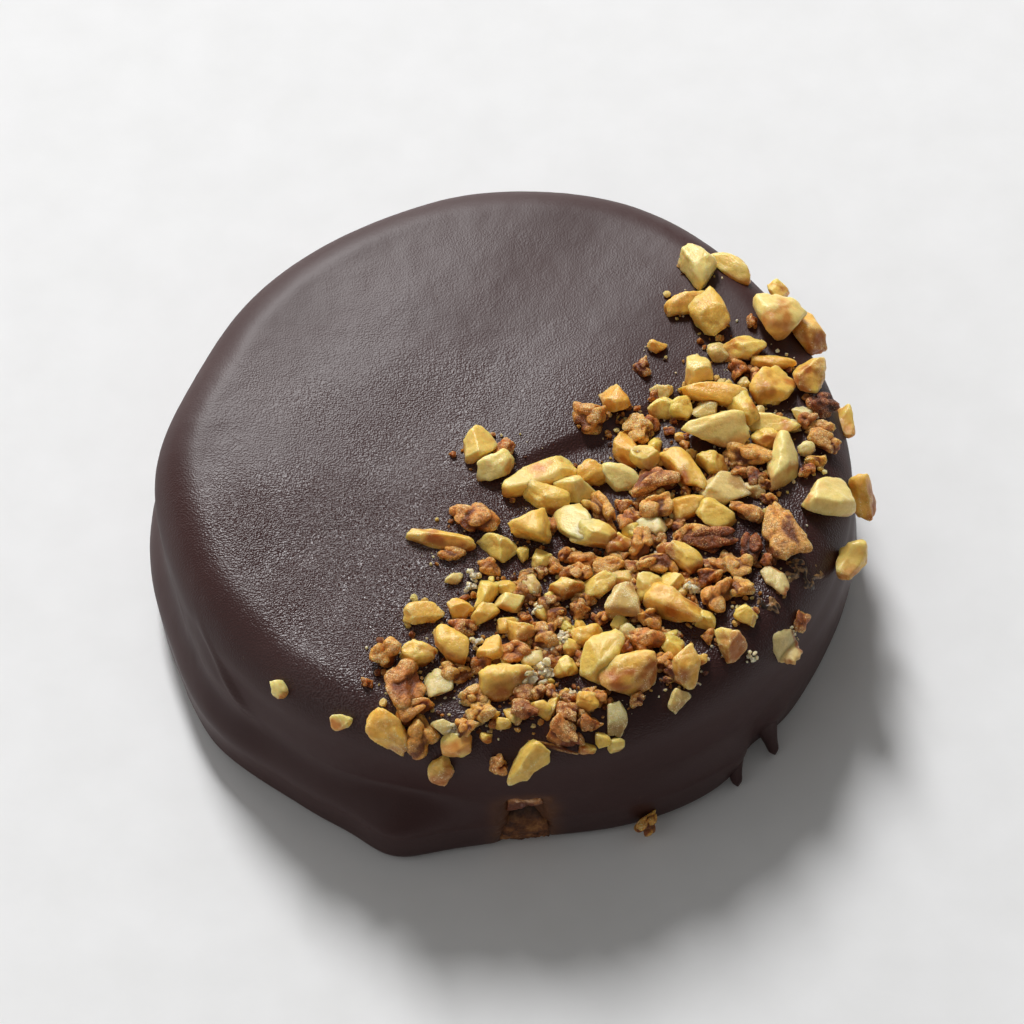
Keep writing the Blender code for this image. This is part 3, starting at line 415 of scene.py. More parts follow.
def grid_faces(rows, columns, copies=1):
    """Faces of grids that close on themselves across their columns, with a fan to one point at each end.

    Each copy has its rows of points first and then its two end points.
    """
    row, column = np.meshgrid(np.arange(rows - 1), np.arange(columns), indexing="ij")
    start = row * columns + column
    beside = row * columns + (column + 1) % columns
    quads = np.stack([start, beside, beside + columns, start + columns], axis=-1).reshape(-1, 4)
    first = np.arange(columns)
    after = (first + 1) % columns
    last_row = (rows - 1) * columns
    low = np.stack([after, first, np.full(columns, rows * columns)], axis=-1)
    high = np.stack([first + last_row, after + last_row, np.full(columns, rows * columns + 1)], axis=-1)
    fans = np.concatenate([low, high])
    step = np.arange(copies)[:, None, None] * (rows * columns + 2)
    return (quads + step).reshape(-1, 4).tolist() + (fans + step).reshape(-1, 3).tolist()


def with_ends(points, low, high):
    """A grid's points as one list, then its two end points."""
    return np.concatenate([points.reshape(-1, 3), [low, high]])


def add_piece(name, points, faces, matter, guides, crisp=False):
    """Mesh object from points in mm and faces, smooth shaded unless crisp, riding on the part's one body.

    The guides are values at its points that its finish reads.
    """
    mesh = bpy.data.meshes.new(name)
    mesh.from_pydata((np.asarray(points) * MM).tolist(), [], faces)
    for key, values in guides.items():
        layer = mesh.attributes.new(key, "FLOAT", "POINT")
        layer.data.foreach_set("value", np.asarray(values, np.float32).ravel())
    if crisp:
        mesh.shade_flat()
    else:
        mesh.shade_smooth()
    mesh.materials.append(matter)
    piece = bpy.data.objects.new(name, mesh)
    bpy.context.scene.collection.objects.link(piece)
    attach(piece, "root")
    return piece


# ---- materials ----

class Paint:
    """A procedural material on a Principled shader, built node by node. Sizes and depths are in mm."""

    def __init__(self, name):
        self.material = bpy.data.materials.new(name)
        self.material.use_nodes = True
        self.tree = self.material.node_tree
        self.shader = self.tree.nodes["Principled BSDF"]
        self.place = self.node("TexCoord").outputs["Object"]

    def link(self, value, socket):
        """Join another node's output to a socket, or give the socket a plain value."""
        if isinstance(value, bpy.types.NodeSocket):
            self.tree.links.new(value, socket)
        else:
            socket.default_value = value

    def node(self, kind, **inputs):
        """New shader node of one kind, with its named inputs given or joined."""
        node = self.tree.nodes.new("ShaderNode" + kind)
        for key, value in inputs.items():
            self.link(value, node.inputs[key])
        return node

    def set(self, **values):
        """Give or join the shader's own inputs."""
        for key, value in values.items():
            self.link(value, self.shader.inputs[key.replace("_", " ")])

    def attribute(self, name):
        node = self.node("Attribute")
        node.attribute_name = name
        return node.outputs["Fac"]

    def noise(self, size, detail=2.0, roughness=0.5):
        scale = 1.0 / (size * MM)
        node = self.node("TexNoise", Vector=self.place, Scale=scale, Detail=detail, Roughness=roughness)
        return node.outputs["Fac"]

    def math(self, operation, first, second):
        node = self.node("Math")
        node.operation = operation
        self.link(first, node.inputs[0])
        self.link(second, node.inputs[1])
        return node.outputs[0]

    def times(self, first, second):
        return self.math("MULTIPLY", first, second)

    def ramp(self, value, *stops):
        """Colour along a value: stops are (position, colour), each colour a grey or three numbers."""
        node = self.node("ValToRGB", Fac=value)
        marks = node.color_ramp.elements
        while len(marks) < len(stops):
            marks.new(0.5)
        for mark, (position, colour) in zip(marks, stops):
            mark.position = position
            colour = colour if isinstance(colour, tuple) else (colour, colour, colour)
            mark.color = (*colour, 1.0)
        return node.outputs["Color"]

    def mix(self, share, first, second, blend="MIX"):
        node = self.node("Mix")
        node.data_type = "RGBA"
        node.blend_type = blend
        self.link(share, node.inputs["Factor"])
        self.link((*first, 1.0) if isinstance(first, tuple) else first, node.inputs["A"])
        self.link((*second, 1.0) if isinstance(second, tuple) else second, node.inputs["B"])
        return node.outputs["Result"]

    def bump(self, height, depth, strength=1.0, under=None):
        node = self.node("Bump", Distance=depth * MM, Strength=strength, Height=height)
        if under is not None:
            self.link(under, node.inputs["Normal"])
        return node.outputs["Normal"]


# ---- form of the coat ----

def swelling(direction, lobes):
    """Sum of soft bell-shaped lobes at each direction, in degrees, round the rim."""
    total = np.zeros_like(direction)
    for middle, spread, height in lobes:
        away = (direction - middle + 180.0) % 360.0 - 180.0
        total += height * np.exp(-0.5 * (away / spread) ** 2)
    return total


def top_relief(x, y):
    """Slow waves of the poured coat and the shallow fold across it, in mm."""
    waves = WAVE_RISES[0] * np.sin(0.16 * x + 0.4) * np.cos(0.13 * y - 0.7)
    waves = waves + WAVE_RISES[1] * np.sin(0.31 * x - 0.22 * y + 1.0)
    dx = x - FOLD_MIDDLE[0]
    dy = y - FOLD_MIDDLE[1]
    along = dx * math.cos(FOLD_TURN) + dy * math.sin(FOLD_TURN)
    below = dx * math.sin(FOLD_TURN) - dy * math.cos(FOLD_TURN)
    fold = smooth(below, 0.0, FOLD_WIDTH) * bell(np.maximum(0.0, below) / FOLD_RECOVERY)
    return waves - FOLD_DROP * fold * bell(along / FOLD_HALF_LENGTH)


def coat_section():
    """Half section of the coat as close (radius, height) points, from the base's rim to the top's middle.

    Quarter round foot, soft step in to the waist and out to the brow, quarter round shoulder, flat top.
    """
    turn = np.linspace(0.0, 0.5 * math.pi, 24)
    part = np.linspace(0.0, 1.0, 40)
    step = smooth(part, 0.0, 1.0)
    foot = (FOOT_RADIUS - FOOT_TUCK - FOOT_ROUND * (1.0 - np.sin(turn)), FOOT_ROUND * (1.0 - np.cos(turn)))
    waist = (FOOT_RADIUS - (FOOT_RADIUS - WAIST_RADIUS) * step,
             BULGE_HEIGHT + part * (WAIST_HEIGHT - BULGE_HEIGHT))
    brow = (WAIST_RADIUS + (BROW_RADIUS - WAIST_RADIUS) * step,
            WAIST_HEIGHT + part * (BROW_HEIGHT - WAIST_HEIGHT))
    shoulder = (TOP_RADIUS + SHOULDER_ROUND * np.cos(turn), BROW_HEIGHT + SHOULDER_ROUND * np.sin(turn))
    top = (TOP_RADIUS * (1.0 - part), np.full_like(part, TOP_HEIGHT))
    return np.concatenate([np.stack(leg, axis=-1)[1:] for leg in (foot, waist, brow, shoulder, top)])


def path_lengths(path):
    """Length of a path of straight legs up to each of its points."""
    return np.concatenate([[0.0], np.cumsum(np.linalg.norm(np.diff(path, axis=0), axis=1))])


def points_along(path, lengths, marks):
    """Points of a path at the marked lengths."""
    return np.stack([np.interp(marks, lengths, path[:, axis]) for axis in range(path.shape[1])], axis=-1)


def resampled(path, stretches):
    """Points along a path, each stretch to a share of its length with a spacing of its own."""
    lengths = path_lengths(path)
    marks = [0.0]
    for end, step in stretches:
        stop = end * lengths[-1]
        count = max(1, round((stop - marks[-1]) / step))
        marks += np.linspace(marks[-1], stop, count + 1)[1:].tolist()
    return points_along(path, lengths, marks)


def coat_swell(direction, height):
    """How far the rim swells at a direction and height: foot, waist and brow lobes, blended by height."""
    foot = 1.0 - smooth(height, BULGE_HEIGHT, WAIST_HEIGHT)
    brow = smooth(height, WAIST_HEIGHT, BROW_HEIGHT)
    return (foot * swelling(direction, FOOT_LOBES) + brow * swelling(direction, BROW_LOBES)
            + (1.0 - foot - brow) * swelling(direction, WAIST_LOBES))


def coat_points(direction, radius, height):
    """Points of the coat: the section turned about Z, swelled by its lobes, its top domed and waved."""
    stretched = radius * (1.0 + coat_swell(direction, height) / np.maximum(radius, TOP_RADIUS))
    x = stretched * np.cos(np.radians(direction))
    y = stretched * np.sin(np.radians(direction))
    top = smooth(height, BROW_HEIGHT, TOP_HEIGHT)
    dome = DOME_RISE * (1.0 - np.minimum(1.0, radius / TOP_RADIUS) ** 2)
    return np.stack([x, y, height + top * (dome + top_relief(x, y))], axis=-1)


def spot_depth(points):
    """Distance in mm from the edge of the bare spot, above 0 inside: a lopsided arch that stands on z = 0.

    A thin lip of chocolate hangs a little below the top of the opening, and the arch widens to its foot.
    """
    x, y, z = np.moveaxis(points, -1, 0)
    top = SPOT_TOP - SPOT_LIP
    across = np.abs(x - SPOT_X) - (SPOT_HALF_WIDTH + SPOT_LEAN * (1.0 - z / top) - SPOT_CORNER)
    upward = z - (top - SPOT_CORNER)
    away = np.hypot(np.maximum(across, 0.0), np.maximum(upward, 0.0))
    away = away + np.minimum(np.maximum(across, upward), 0.0)
    return np.where(y < 0.0, SPOT_CORNER - away + uneven(points, SPOT_RAGGED), OUTSIDE)


def seat(x, y, height):
    """Point on the coat nearest to a nut, and the way out of the coat there."""
    radius = math.hypot(x, y)
    direction = np.array([math.degrees(math.atan2(y, x))])
    inner = TOP_RADIUS + float(swelling(direction, BROW_LOBES)[0])
    outward = Vector((x, y, 0.0)) / radius
    if height is not None and height < BROW_HEIGHT:
        return outward * radius + Vector((0.0, 0.0, height)), outward
    if radius < inner:
        top = TOP_HEIGHT + DOME_RISE * (1.0 - (radius / inner) ** 2) + float(top_relief(x, y))
        return Vector((x, y, top)), Vector((0.0, 0.0, 1.0))
    rise = math.sqrt(max(0.0, SHOULDER_ROUND ** 2 - (radius - inner) ** 2))
    if height is not None:
        rise = height - BROW_HEIGHT
    normal = (outward * (radius - inner) + Vector((0.0, 0.0, rise))).normalized()
    return outward * inner + Vector((0.0, 0.0, BROW_HEIGHT)) + normal * SHOULDER_ROUND, normal


def coat_height(x, y):
    """Height of the coat over each place: the domed top, and the quarter round shoulder outside it."""
    radius = np.hypot(x, y)
    inner = TOP_RADIUS + swelling(np.degrees(np.arctan2(y, x)), BROW_LOBES)
    out = np.clip((radius - inner) / SHOULDER_ROUND, 0.0, 1.0)
    dome = DOME_RISE * (1.0 - np.minimum(1.0, radius / inner) ** 2)
    return BROW_HEIGHT + SHOULDER_ROUND * np.sqrt(1.0 - out ** 2) + (out == 0.0) * (dome + top_relief(x, y))


def rim_directions(fine, coarse):
    """Directions round the rim in degrees: close together across the bare spot, wider apart elsewhere."""
    middle = math.degrees(math.atan2(-WAIST_RADIUS, SPOT_X)) % 360.0
    across = np.arange(-SPOT_SPREAD, SPOT_SPREAD, fine)
    rest = 360.0 - 2.0 * SPOT_SPREAD
    beyond = np.linspace(SPOT_SPREAD, 360.0 - SPOT_SPREAD, round(rest / coarse), endpoint=False)
    return middle + np.concatenate([across, beyond])


# ---- chocolate ----

def chocolate_paint():
    """Dark satin chocolate: nearly black brown with a few flecks, fine close bumps that fade in and out and
    carry painted highlights on their tips in one part of the top, and thin brown at the torn edge."""
    paint = Paint("dark_chocolate_finish")
    cloud = paint.noise(9.0, 3.0)
    base = paint.ramp(cloud, (0.35, (0.0405, 0.0130, 0.0115)), (0.70, (0.0465, 0.0166, 0.0150)))
    fleck = paint.ramp(paint.noise(0.9, 1.0), (0.79, 0.0), (0.83, 1.0))
    base = paint.mix(paint.times(fleck, 0.35), base, (0.10, 0.055, 0.035))
    base = paint.mix(paint.attribute("thin"), base, (0.105, 0.038, 0.014))
    patch = paint.ramp(paint.noise(8.0, 2.0), (0.38, 0.75), (0.62, 1.0))
    pimple = paint.noise(PIMPLE_SIZE, 0.0)
    # painted highlights: paler tips on the fine bumps stand in for glints of the window
    painted_glints = paint.times(paint.ramp(pimple, (0.44, 0.0), (0.62, 1.0)), paint.attribute("painted_glint"))
    base = paint.mix(paint.times(painted_glints, patch), base, (0.155, 0.125, 0.125))
    strength = paint.times(patch, paint.attribute("grain"))
    swell = paint.bump(paint.attribute("swell"), 1.0)
    fine = paint.bump(pimple, PIMPLE_DEPTH, strength, swell)
    soft = paint.bump(paint.noise(2.4, 2.0), 0.10, 0.40, fine)
    roughness = paint.math("SUBTRACT", paint.attribute("matt"), paint.times(strength, PIMPLE_SHINE))
    paint.set(Base_Color=base, Normal=soft, Specular_IOR_Level=0.33, Roughness=roughness)
    return paint.material


def wall_lumps(points, direction, height):
    """Outward relief of the wall: sagging lumps on the left of the front, a flare round each drip's root."""
    direction = direction % 360.0
    lumps = uneven(points, LUMPS)
    for middle, spread, level, length, rise in WALL_FOLDS:
        off = direction - middle - FOLD_LEAN * (level - height)
        off = np.where(off < 0.0, off, FOLD_STEEPNESS * off) / spread
        lumps = lumps + rise * np.exp(-off ** 2 - ((height - level) / length) ** 2)
    side = bell((direction - LUMPS_MIDDLE) / LUMPS_SPREAD)
    ledge = np.maximum(bell((height - LUMPS_HEIGHT) / LUMPS_REACH), LUMPS_LEAST)
    flare = np.zeros_like(height)
    for root_direction, root_height, _, _ in DRIPS:
        beside = np.exp(-0.5 * ((direction - root_direction) / FLARE_SPREAD) ** 2)
        flare = np.maximum(flare, beside * bell((height - root_height) / FLARE_HEIGHT))
    return side * lumps * ledge + FLARE_RISE * flare * smooth(height, 0.0, 1.0)


def swell_of_light(radius):
    """Height in mm of a slight swell, seen only in how the light falls: its slope grows to the rim."""
    marks = np.linspace(0.0, 36.0, 120)
    slope = 0.03 * marks / 27.0 * (1.0 - smooth(marks, 26.0, 31.0))
    return -np.interp(radius, marks, np.cumsum(slope) * (marks[1] - marks[0]))


def matt_finish(height):
    """Roughness of the chocolate by height: satin top, duller shoulder, and a wall that shines a little."""
    return 0.495 + 0.12 * smooth(height, 7.5, 10.5) * (1.0 - smooth(height, 13.5, 15.8))


def grain_strength(points, radius, height):
    """How marked the fine bumps are: most in front on the top, less behind and left, least on the wall."""
    x, y, _ = np.moveaxis(points, -1, 0)
    front = 1.0 - 0.58 * smooth(y, -8.0, 2.0) - 0.27 * smooth(y, 4.0, 18.0)
    inward = (0.78 + 0.45 * smooth(x, -24.0, -9.0)) * (1.0 - 0.40 * smooth(radius, 24.0, 28.5))
    return (0.12 + 0.88 * smooth(height, 12.0, 15.0)) * front * inward


def painted_glint_strength(points, height):
    """How strong the painted highlights on the tips of the bumps are: only on the left of the front of the
    top.
    """
    x, y, _ = np.moveaxis(points, -1, 0)
    across = smooth(x, -22.0, -13.5) * (1.0 - smooth(x, -8.0, 3.0))
    along = (1.0 - smooth(y, -9.0, 5.0)) * (0.25 + 0.75 * smooth(y, -25.0, -14.0))
    return across * along * smooth(height, 13.5, 15.5)


def thin_share(points, depth):
    """How thin the chocolate is: patchy round the bare spot, up to just over its top, and on its floor."""
    patchy = 0.45 + 0.55 * smooth(noise(points, 1.3, 15), -0.3, 0.6)
    edge = bell(np.maximum(0.0, -depth) / 0.9) * patchy * smooth(SPOT_TOP + 1.0 - points[..., 2], 0.0, 1.6)
    return np.clip(1.35 * edge, 0.0, 1.0) + 0.6 * smooth(depth, 0.0, 0.6)


def coat_piece(matter):
    """The chocolate coat as a grid of directions by places on its section, pushed in at the bare spot.

    Its relief goes outward on the wall and turns upward over the shoulder.
    """
    section = resampled(coat_section(), SECTION_STRETCHES)
    base = np.stack([np.linspace(0.15, 1.0, BASE_ROWS) * section[0, 0], np.zeros(BASE_ROWS)], axis=-1)
    section = np.concatenate([base, section[1:-1]])
    direction = rim_directions(*COAT_DIRECTIONS)
    radius, around = np.meshgrid(section[:, 0], direction, indexing="ij")
    height = np.broadcast_to(section[:, 1:], radius.shape)
    points = coat_points(around, radius, height)
    flat = np.hypot(points[..., 0], points[..., 1])
    relief = uneven(points, COAT_RELIEF) * smooth(height, 0.3, 2.0) + wall_lumps(points, around, height)
    upward = smooth(height, BROW_HEIGHT, TOP_HEIGHT)[..., None]
    outward = points * np.array([1.0, 1.0, 0.0]) / np.maximum(flat, 1.0)[..., None]
    points = points + relief[..., None] * ((1.0 - upward) * outward + upward * np.array([0.0, 0.0, 1.0]))
    depth = np.where(height < SPOT_TOP + 2.0, spot_depth(points), OUTSIDE)
    pushed = smooth(depth, *SPOT_EDGE)
    pushed[:BASE_ROWS + 1] = 0.0
    floor = SPOT_FLOOR + uneven(points, SPOT_FLOOR_RELIEF)
    points[..., :2] *= (1.0 - pushed * (1.0 - floor / np.maximum(flat, 1.0)))[..., None]
    everything = with_ends(points, (0.0, 0.0, 0.0), (0.0, 0.0, points[-1, :, 2].mean()))
    guides = {"thin": np.append(thin_share(points, depth).ravel(), [0.0, 0.0]),
              "grain": np.append(grain_strength(points, flat, height).ravel(), [0.0, 1.0]),
              # strength of the painted highlights on the bump tips
              "painted_glint": np.append(painted_glint_strength(points, height).ravel(), [0.0, 1.0]),
              "swell": swell_of_light(np.hypot(everything[:, 0], everything[:, 1])),
              "matt": matt_finish(everything[:, 2])}
    return add_piece("chocolate_coat", everything, grid_faces(*radius.shape), matter, guides)


def rim_point(direction, radius, height):
    """Point at a direction in degrees round the rim, a radius and a height."""
    angle = math.radians(direction)
    return np.array([radius * math.cos(angle), radius * math.sin(angle), height])


def drip_points(root_direction, root_height, tip_direction, tip_radius):
    """A drip like a thorn: oval rings along a straight run, soon thinning, with a round blunt end."""
    root = rim_point(root_direction, DRIP_ROOT_RADIUS, root_height)
    tip = rim_point(tip_direction, tip_radius, DRIP_TIP_HEIGHT)
    way = (tip - root) / np.linalg.norm(tip - root)
    root = root - way * DRIP_SUNK
    across = np.cross(way, (0.0, 0.0, 1.0))
    across /= np.linalg.norm(across)
    upward = np.cross(across, way)
    t = np.linspace(0.0, 1.0, DRIP_RINGS)[:, None]
    angle = np.linspace(0.0, math.tau, DRIP_SIDES, endpoint=False)[None, :]
    (wide, narrow), (high, low) = DRIP_HALF_WIDTHS, DRIP_HALF_HEIGHTS
    blunt = np.sqrt(1.0 - smooth(t, 0.86, 1.0) ** 2 * 0.96)
    width = (narrow + (wide - narrow) * (1.0 - t) ** DRIP_NARROWING) * blunt
    height = (low + (high - low) * (1.0 - t)) * blunt
    ring = root + (tip - root) * t[..., None] + way * DRIP_BLUNT_END * smooth(t, 0.8, 1.0)[..., None]
    ring = ring + (width * np.cos(angle))[..., None] * across + (height * np.sin(angle))[..., None] * upward
    return with_ends(ring, root, tip + way * DRIP_CAP)


def drips_piece(matter):
    """Both drips as one mesh of smooth lofts."""
    points = np.concatenate([drip_points(*drip) for drip in DRIPS])
    guides = {"grain": np.full(len(points), DRIP_GRAIN), "matt": np.full(len(points), DRIP_MATT)}
    add_piece("chocolate_drips", points, grid_faces(DRIP_RINGS, DRIP_SIDES, len(DRIPS)), matter, guides)


# ---- layers in the bare spot ----

def layer_sections(bottom, top, face):
    """Half sections of the plain disc and its tongue: (radius, height) at the same shares of their lengths,
    most of them on the face that shows."""
    rim = LAYER_RADIUS - LAYER_ROUND
    disc = ((0.0, bottom), (rim, bottom), (LAYER_RADIUS, bottom + LAYER_ROUND),
            (LAYER_RADIUS, top - LAYER_ROUND), (rim, top), (0.0, top))
    tongue = ((0.0, bottom), *face, (rim, top), (0.0, top))
    share = np.concatenate([np.linspace(0.02, 0.42, 10, endpoint=False), np.linspace(0.42, 0.58, 110),
                            np.linspace(0.58, 0.98, 11)[1:]])
    for corners in (np.array(disc), np.array(tongue)):
        lengths = path_lengths(corners)
        yield points_along(corners, lengths, share * lengths[-1])[:, None, :]


def layer_piece(name, slot, matter, heights, face, half, roughness, seed, narrowing, droop):
    """A disc that comes forward in the bare spot: in each direction its section is a blend of the plain
    disc's and the tongue's, and crumb relief roughens the part that shows."""
    bottom, top = heights
    disc, tongue = layer_sections(bottom, top, face)
    level = tongue[..., 1]
    around = np.radians(rim_directions(*LAYER_DIRECTIONS))[None, :]
    across = (LAYER_RADIUS + 2.0) * np.cos(around) - SPOT_X
    place = np.stack(np.broadcast_arrays(across * 0.3, level, seed), axis=-1)
    reach = half - narrowing * smooth(level, 1.0, top) ** 1.5 + LAYER_RAGGED * noise(place, 1.1, seed)
    weight = (np.sin(around) < 0.0) * (1.0 - smooth(np.abs(across), reach - 0.45, reach + 0.25))
    radius, height = (disc[..., axis] * (1.0 - weight) + tongue[..., axis] * weight for axis in range(2))
    height = height - droop * weight * smooth(-across, -0.6, 1.2) * smooth(top - level, 0.4, 1.2)
    points = np.stack([radius * np.cos(around), radius * np.sin(around), height], axis=-1)
    crumb = roughness * weight * smooth(radius, 26.0, 28.0) * uneven(points, LAYER_CRUMB, seed)
    points[..., :2] *= (1.0 + crumb / np.maximum(radius, 1.0))[..., None]
    everything = with_ends(points, (0.0, 0.0, bottom), (0.0, 0.0, top))
    # painted shade: darker between 3.4 and 7.6 mm up, the recess under the caramel strip and the brow
    recess_shade = smooth(everything[:, 2], 3.4, 5.6) * (1.0 - smooth(everything[:, 2], 7.0, 7.6))
    return add_piece(name, everything, grid_faces(*radius.shape), matter, {"recess_shade": recess_shade})


def biscuit_paint():
    """Baked crumb: mid brown with darker pits and a few pale grains, and painted shade in the recess under
    the caramel.
    """
    paint = Paint("baked_biscuit_finish")
    mottle = paint.noise(0.8, 4.0, 0.6)
    base = paint.ramp(mottle, (0.32, (0.045, 0.012, 0.003)), (0.52, (0.17, 0.056, 0.013)),
                      (0.72, (0.36, 0.16, 0.045)))
    # painted shade: near black in the recess
    base = paint.mix(paint.attribute("recess_shade"), base, (0.018, 0.007, 0.004))
    paint.set(Base_Color=base, Roughness=0.8, Normal=paint.bump(paint.noise(0.35, 3.0), 0.10, 0.8))
    return paint.material


def caramel_paint():
    """Torn caramel: tan with darker streaks and a slight shine, and painted shade low down in the recess."""
    paint = Paint("caramel_filling_finish")
    mottle = paint.noise(0.6, 3.0, 0.6)
    base = paint.ramp(mottle, (0.30, (0.16, 0.045, 0.012)), (0.50, (0.46, 0.18, 0.05)),
                      (0.72, (0.80, 0.50, 0.27)))
    # painted shade: darker red brown where the caramel hangs into the recess
    base = paint.mix(paint.attribute("recess_shade"), base, (0.15, 0.036, 0.010))
    paint.set(Base_Color=base, Roughness=0.28, Normal=paint.bump(paint.noise(0.3, 3.0), 0.09, 0.8))
    return paint.material


# ---- nuts ----

def way_grid(rows, columns):
    """Directions of a closed ball: rings from below to above, then the two poles."""
    upward, around = np.meshgrid(np.radians(np.linspace(-90.0, 90.0, rows + 2)[1:-1]),
                                 np.linspace(0.0, math.tau, columns, endpoint=False), indexing="ij")
    out = np.cos(upward)
    ring = np.stack([out * np.cos(around), out * np.sin(around), np.sin(upward)], axis=-1)
    return with_ends(ring, (0.0, 0.0, -1.0), (0.0, 0.0, 1.0))


def seeded_cuts(rng, count, depths, upright):
    """Cuts as (normal, distance) from the middle; with a small upright they lie mostly round the sides."""
    cuts = []
    for _ in range(count):
        normal = Vector((rng.gauss(0.0, 1.0), rng.gauss(0.0, 1.0), rng.gauss(0.0, upright))).normalized()
        cuts.append((normal[:], rng.uniform(*depths)))
    return cuts


def nut_reach(ways, cuts):
    """How far a nut reaches from its middle in each direction, and how near each direction is to a cut edge.

    A pillowy unit box is met by crisp chipped cuts; an edge is where two faces are met at the same distance.
    """
    normals, distances = zip(*cuts)
    near = np.maximum(0.0, ways @ np.array(normals).T / distances)
    sides = np.maximum(0.0, np.concatenate([-ways, ways], axis=1))
    box = np.sum(sides ** PILLOW_ROUNDING, axis=1) ** (1.0 / PILLOW_ROUNDING)
    chip = np.sum(near ** CHIP_ROUNDING, axis=1) ** (1.0 / CHIP_ROUNDING)
    ranked = np.sort(np.concatenate([box[:, None], near], axis=1), axis=1)
    edge = smooth(ranked[:, -2] / ranked[:, -1], EDGE_NEARNESS, 1.0)
    return (box ** NUT_ROUNDING + chip ** NUT_ROUNDING) ** (-1.0 / NUT_ROUNDING), edge


def knobs(ways, rng):
    """Height from 0 to 1 of round knobs all over a ball: in each direction the highest of seeded domes."""
    middles = np.array([[rng.gauss(0.0, 1.0) for _ in range(3)] for _ in range(KNOBS)])
    middles /= np.linalg.norm(middles, axis=1, keepdims=True)
    away = np.arccos(np.clip(ways @ middles.T, -1.0, 1.0)) / KNOB_SPREAD
    return np.sqrt(np.clip(1.0 - away ** 2, 0.0, 1.0)).max(axis=1)


def nut_points(row, number, ways, knob_height, grain):
    """One nut piece on the coat: directions times reach times half size, then tapered, bent and turned.

    knob_height is that of round knobs, as a share of the reach, and grain that of finer unevenness.
    """
    x, y, length, width, height, turn = row[:6]
    level = row[6] if len(row) > 6 else None
    rng = random.Random(CUT_SEED + number)
    cuts = seeded_cuts(rng, *NUT_CUTS)
    tilts = [math.radians(rng.uniform(-NUT_TILT, NUT_TILT)) for _ in range(2)]
    point, normal = seat(x, y, level)
    middle = point + normal * height * (0.5 - NUT_SUNK)
    if level is not None:
        middle = Vector((x, y, level))
    size = np.array([length, width, height]) * NUT_GROWTH / 2.0
    upright = Vector((0.0, 0.0, 1.0)).rotation_difference(normal).to_matrix()
    tilt = Matrix.Rotation(tilts[0], 3, "X") @ Matrix.Rotation(tilts[1], 3, "Y")
    turned = np.array(upright @ Matrix.Rotation(math.radians(turn), 3, "Z") @ tilt)
    own_rng = random.Random(CHIP_SEED + number)
    reach, edge = nut_reach(ways, cuts + seeded_cuts(own_rng, *SMALL_CHIPS))
    knob = knobs(ways, own_rng)
    own = ways * (reach * (1.0 + knob_height * (knob - KNOB_MEAN)))[:, None] * size
    own[:, 1] *= 1.0 + own_rng.uniform(-NUT_TAPER, NUT_TAPER) * own[:, 0] / size[0]
    own[:, 1] += own_rng.uniform(-NUT_BEND, NUT_BEND) * size[1] * (own[:, 0] / size[0]) ** 2
    relief = uneven(own + number, NUT_GRAIN)
    own = own * (1.0 + grain * (0.8 + 0.9 * edge) * relief / size.mean())[:, None]
    crest = np.clip(0.5 + 0.35 * relief + (knob - 0.7 if knob_height > 0.2 else 0.5 * edge), 0.0, 1.0)
    return np.array(middle) + own @ turned.T, crest


def nut_guides(points, number, crest):
    """Colour guides of one nut: its own tone, real browning plus painted shade low down and in front, its
    crests.
    """
    rng = random.Random(GUIDE_SEED + number)
    tone = rng.random()
    bias = rng.gauss(0.0, 0.22)
    _, front, low = ((points.mean(axis=0) - points) / (points.max(axis=0) - points.min(axis=0))).T
    # painted shade: the low and front terms darken and redden the nut's lower and front sides; bias, noise
    # and scorches are real browning
    browning_and_shade = 0.34 + bias + 0.90 * low + 0.65 * front + uneven(points, NUT_BROWNING)
    for x, y, radius, amount in SCORCHES:
        browning_and_shade = browning_and_shade + amount * bell(np.hypot(points[:, 0] - x, points[:, 1] - y) / radius)
    return {"tone": np.full(len(points), tone), "browning_and_shade": np.clip(browning_and_shade, 0.0, 1.0), "crest": crest}


def joined(made):
    """Points and guides of pieces made one by one as (points, guides), joined."""
    points = np.concatenate([own for own, _ in made])
    return points, {key: np.concatenate([guides[key] for _, guides in made]) for key in made[0][1]}


def nuts_piece(name, matter, numbered_rows, rows, columns, knob_height, grain):
    """All nuts of one kind as one mesh."""
    ways = way_grid(rows, columns)
    made = []
    for number, row in numbered_rows:
        points, crest = nut_points(row, number, ways, knob_height, grain)
        made.append((points, nut_guides(points, number, crest)))
    points, guides = joined(made)
    return add_piece(name, points, grid_faces(rows, columns, len(made)), matter, guides)


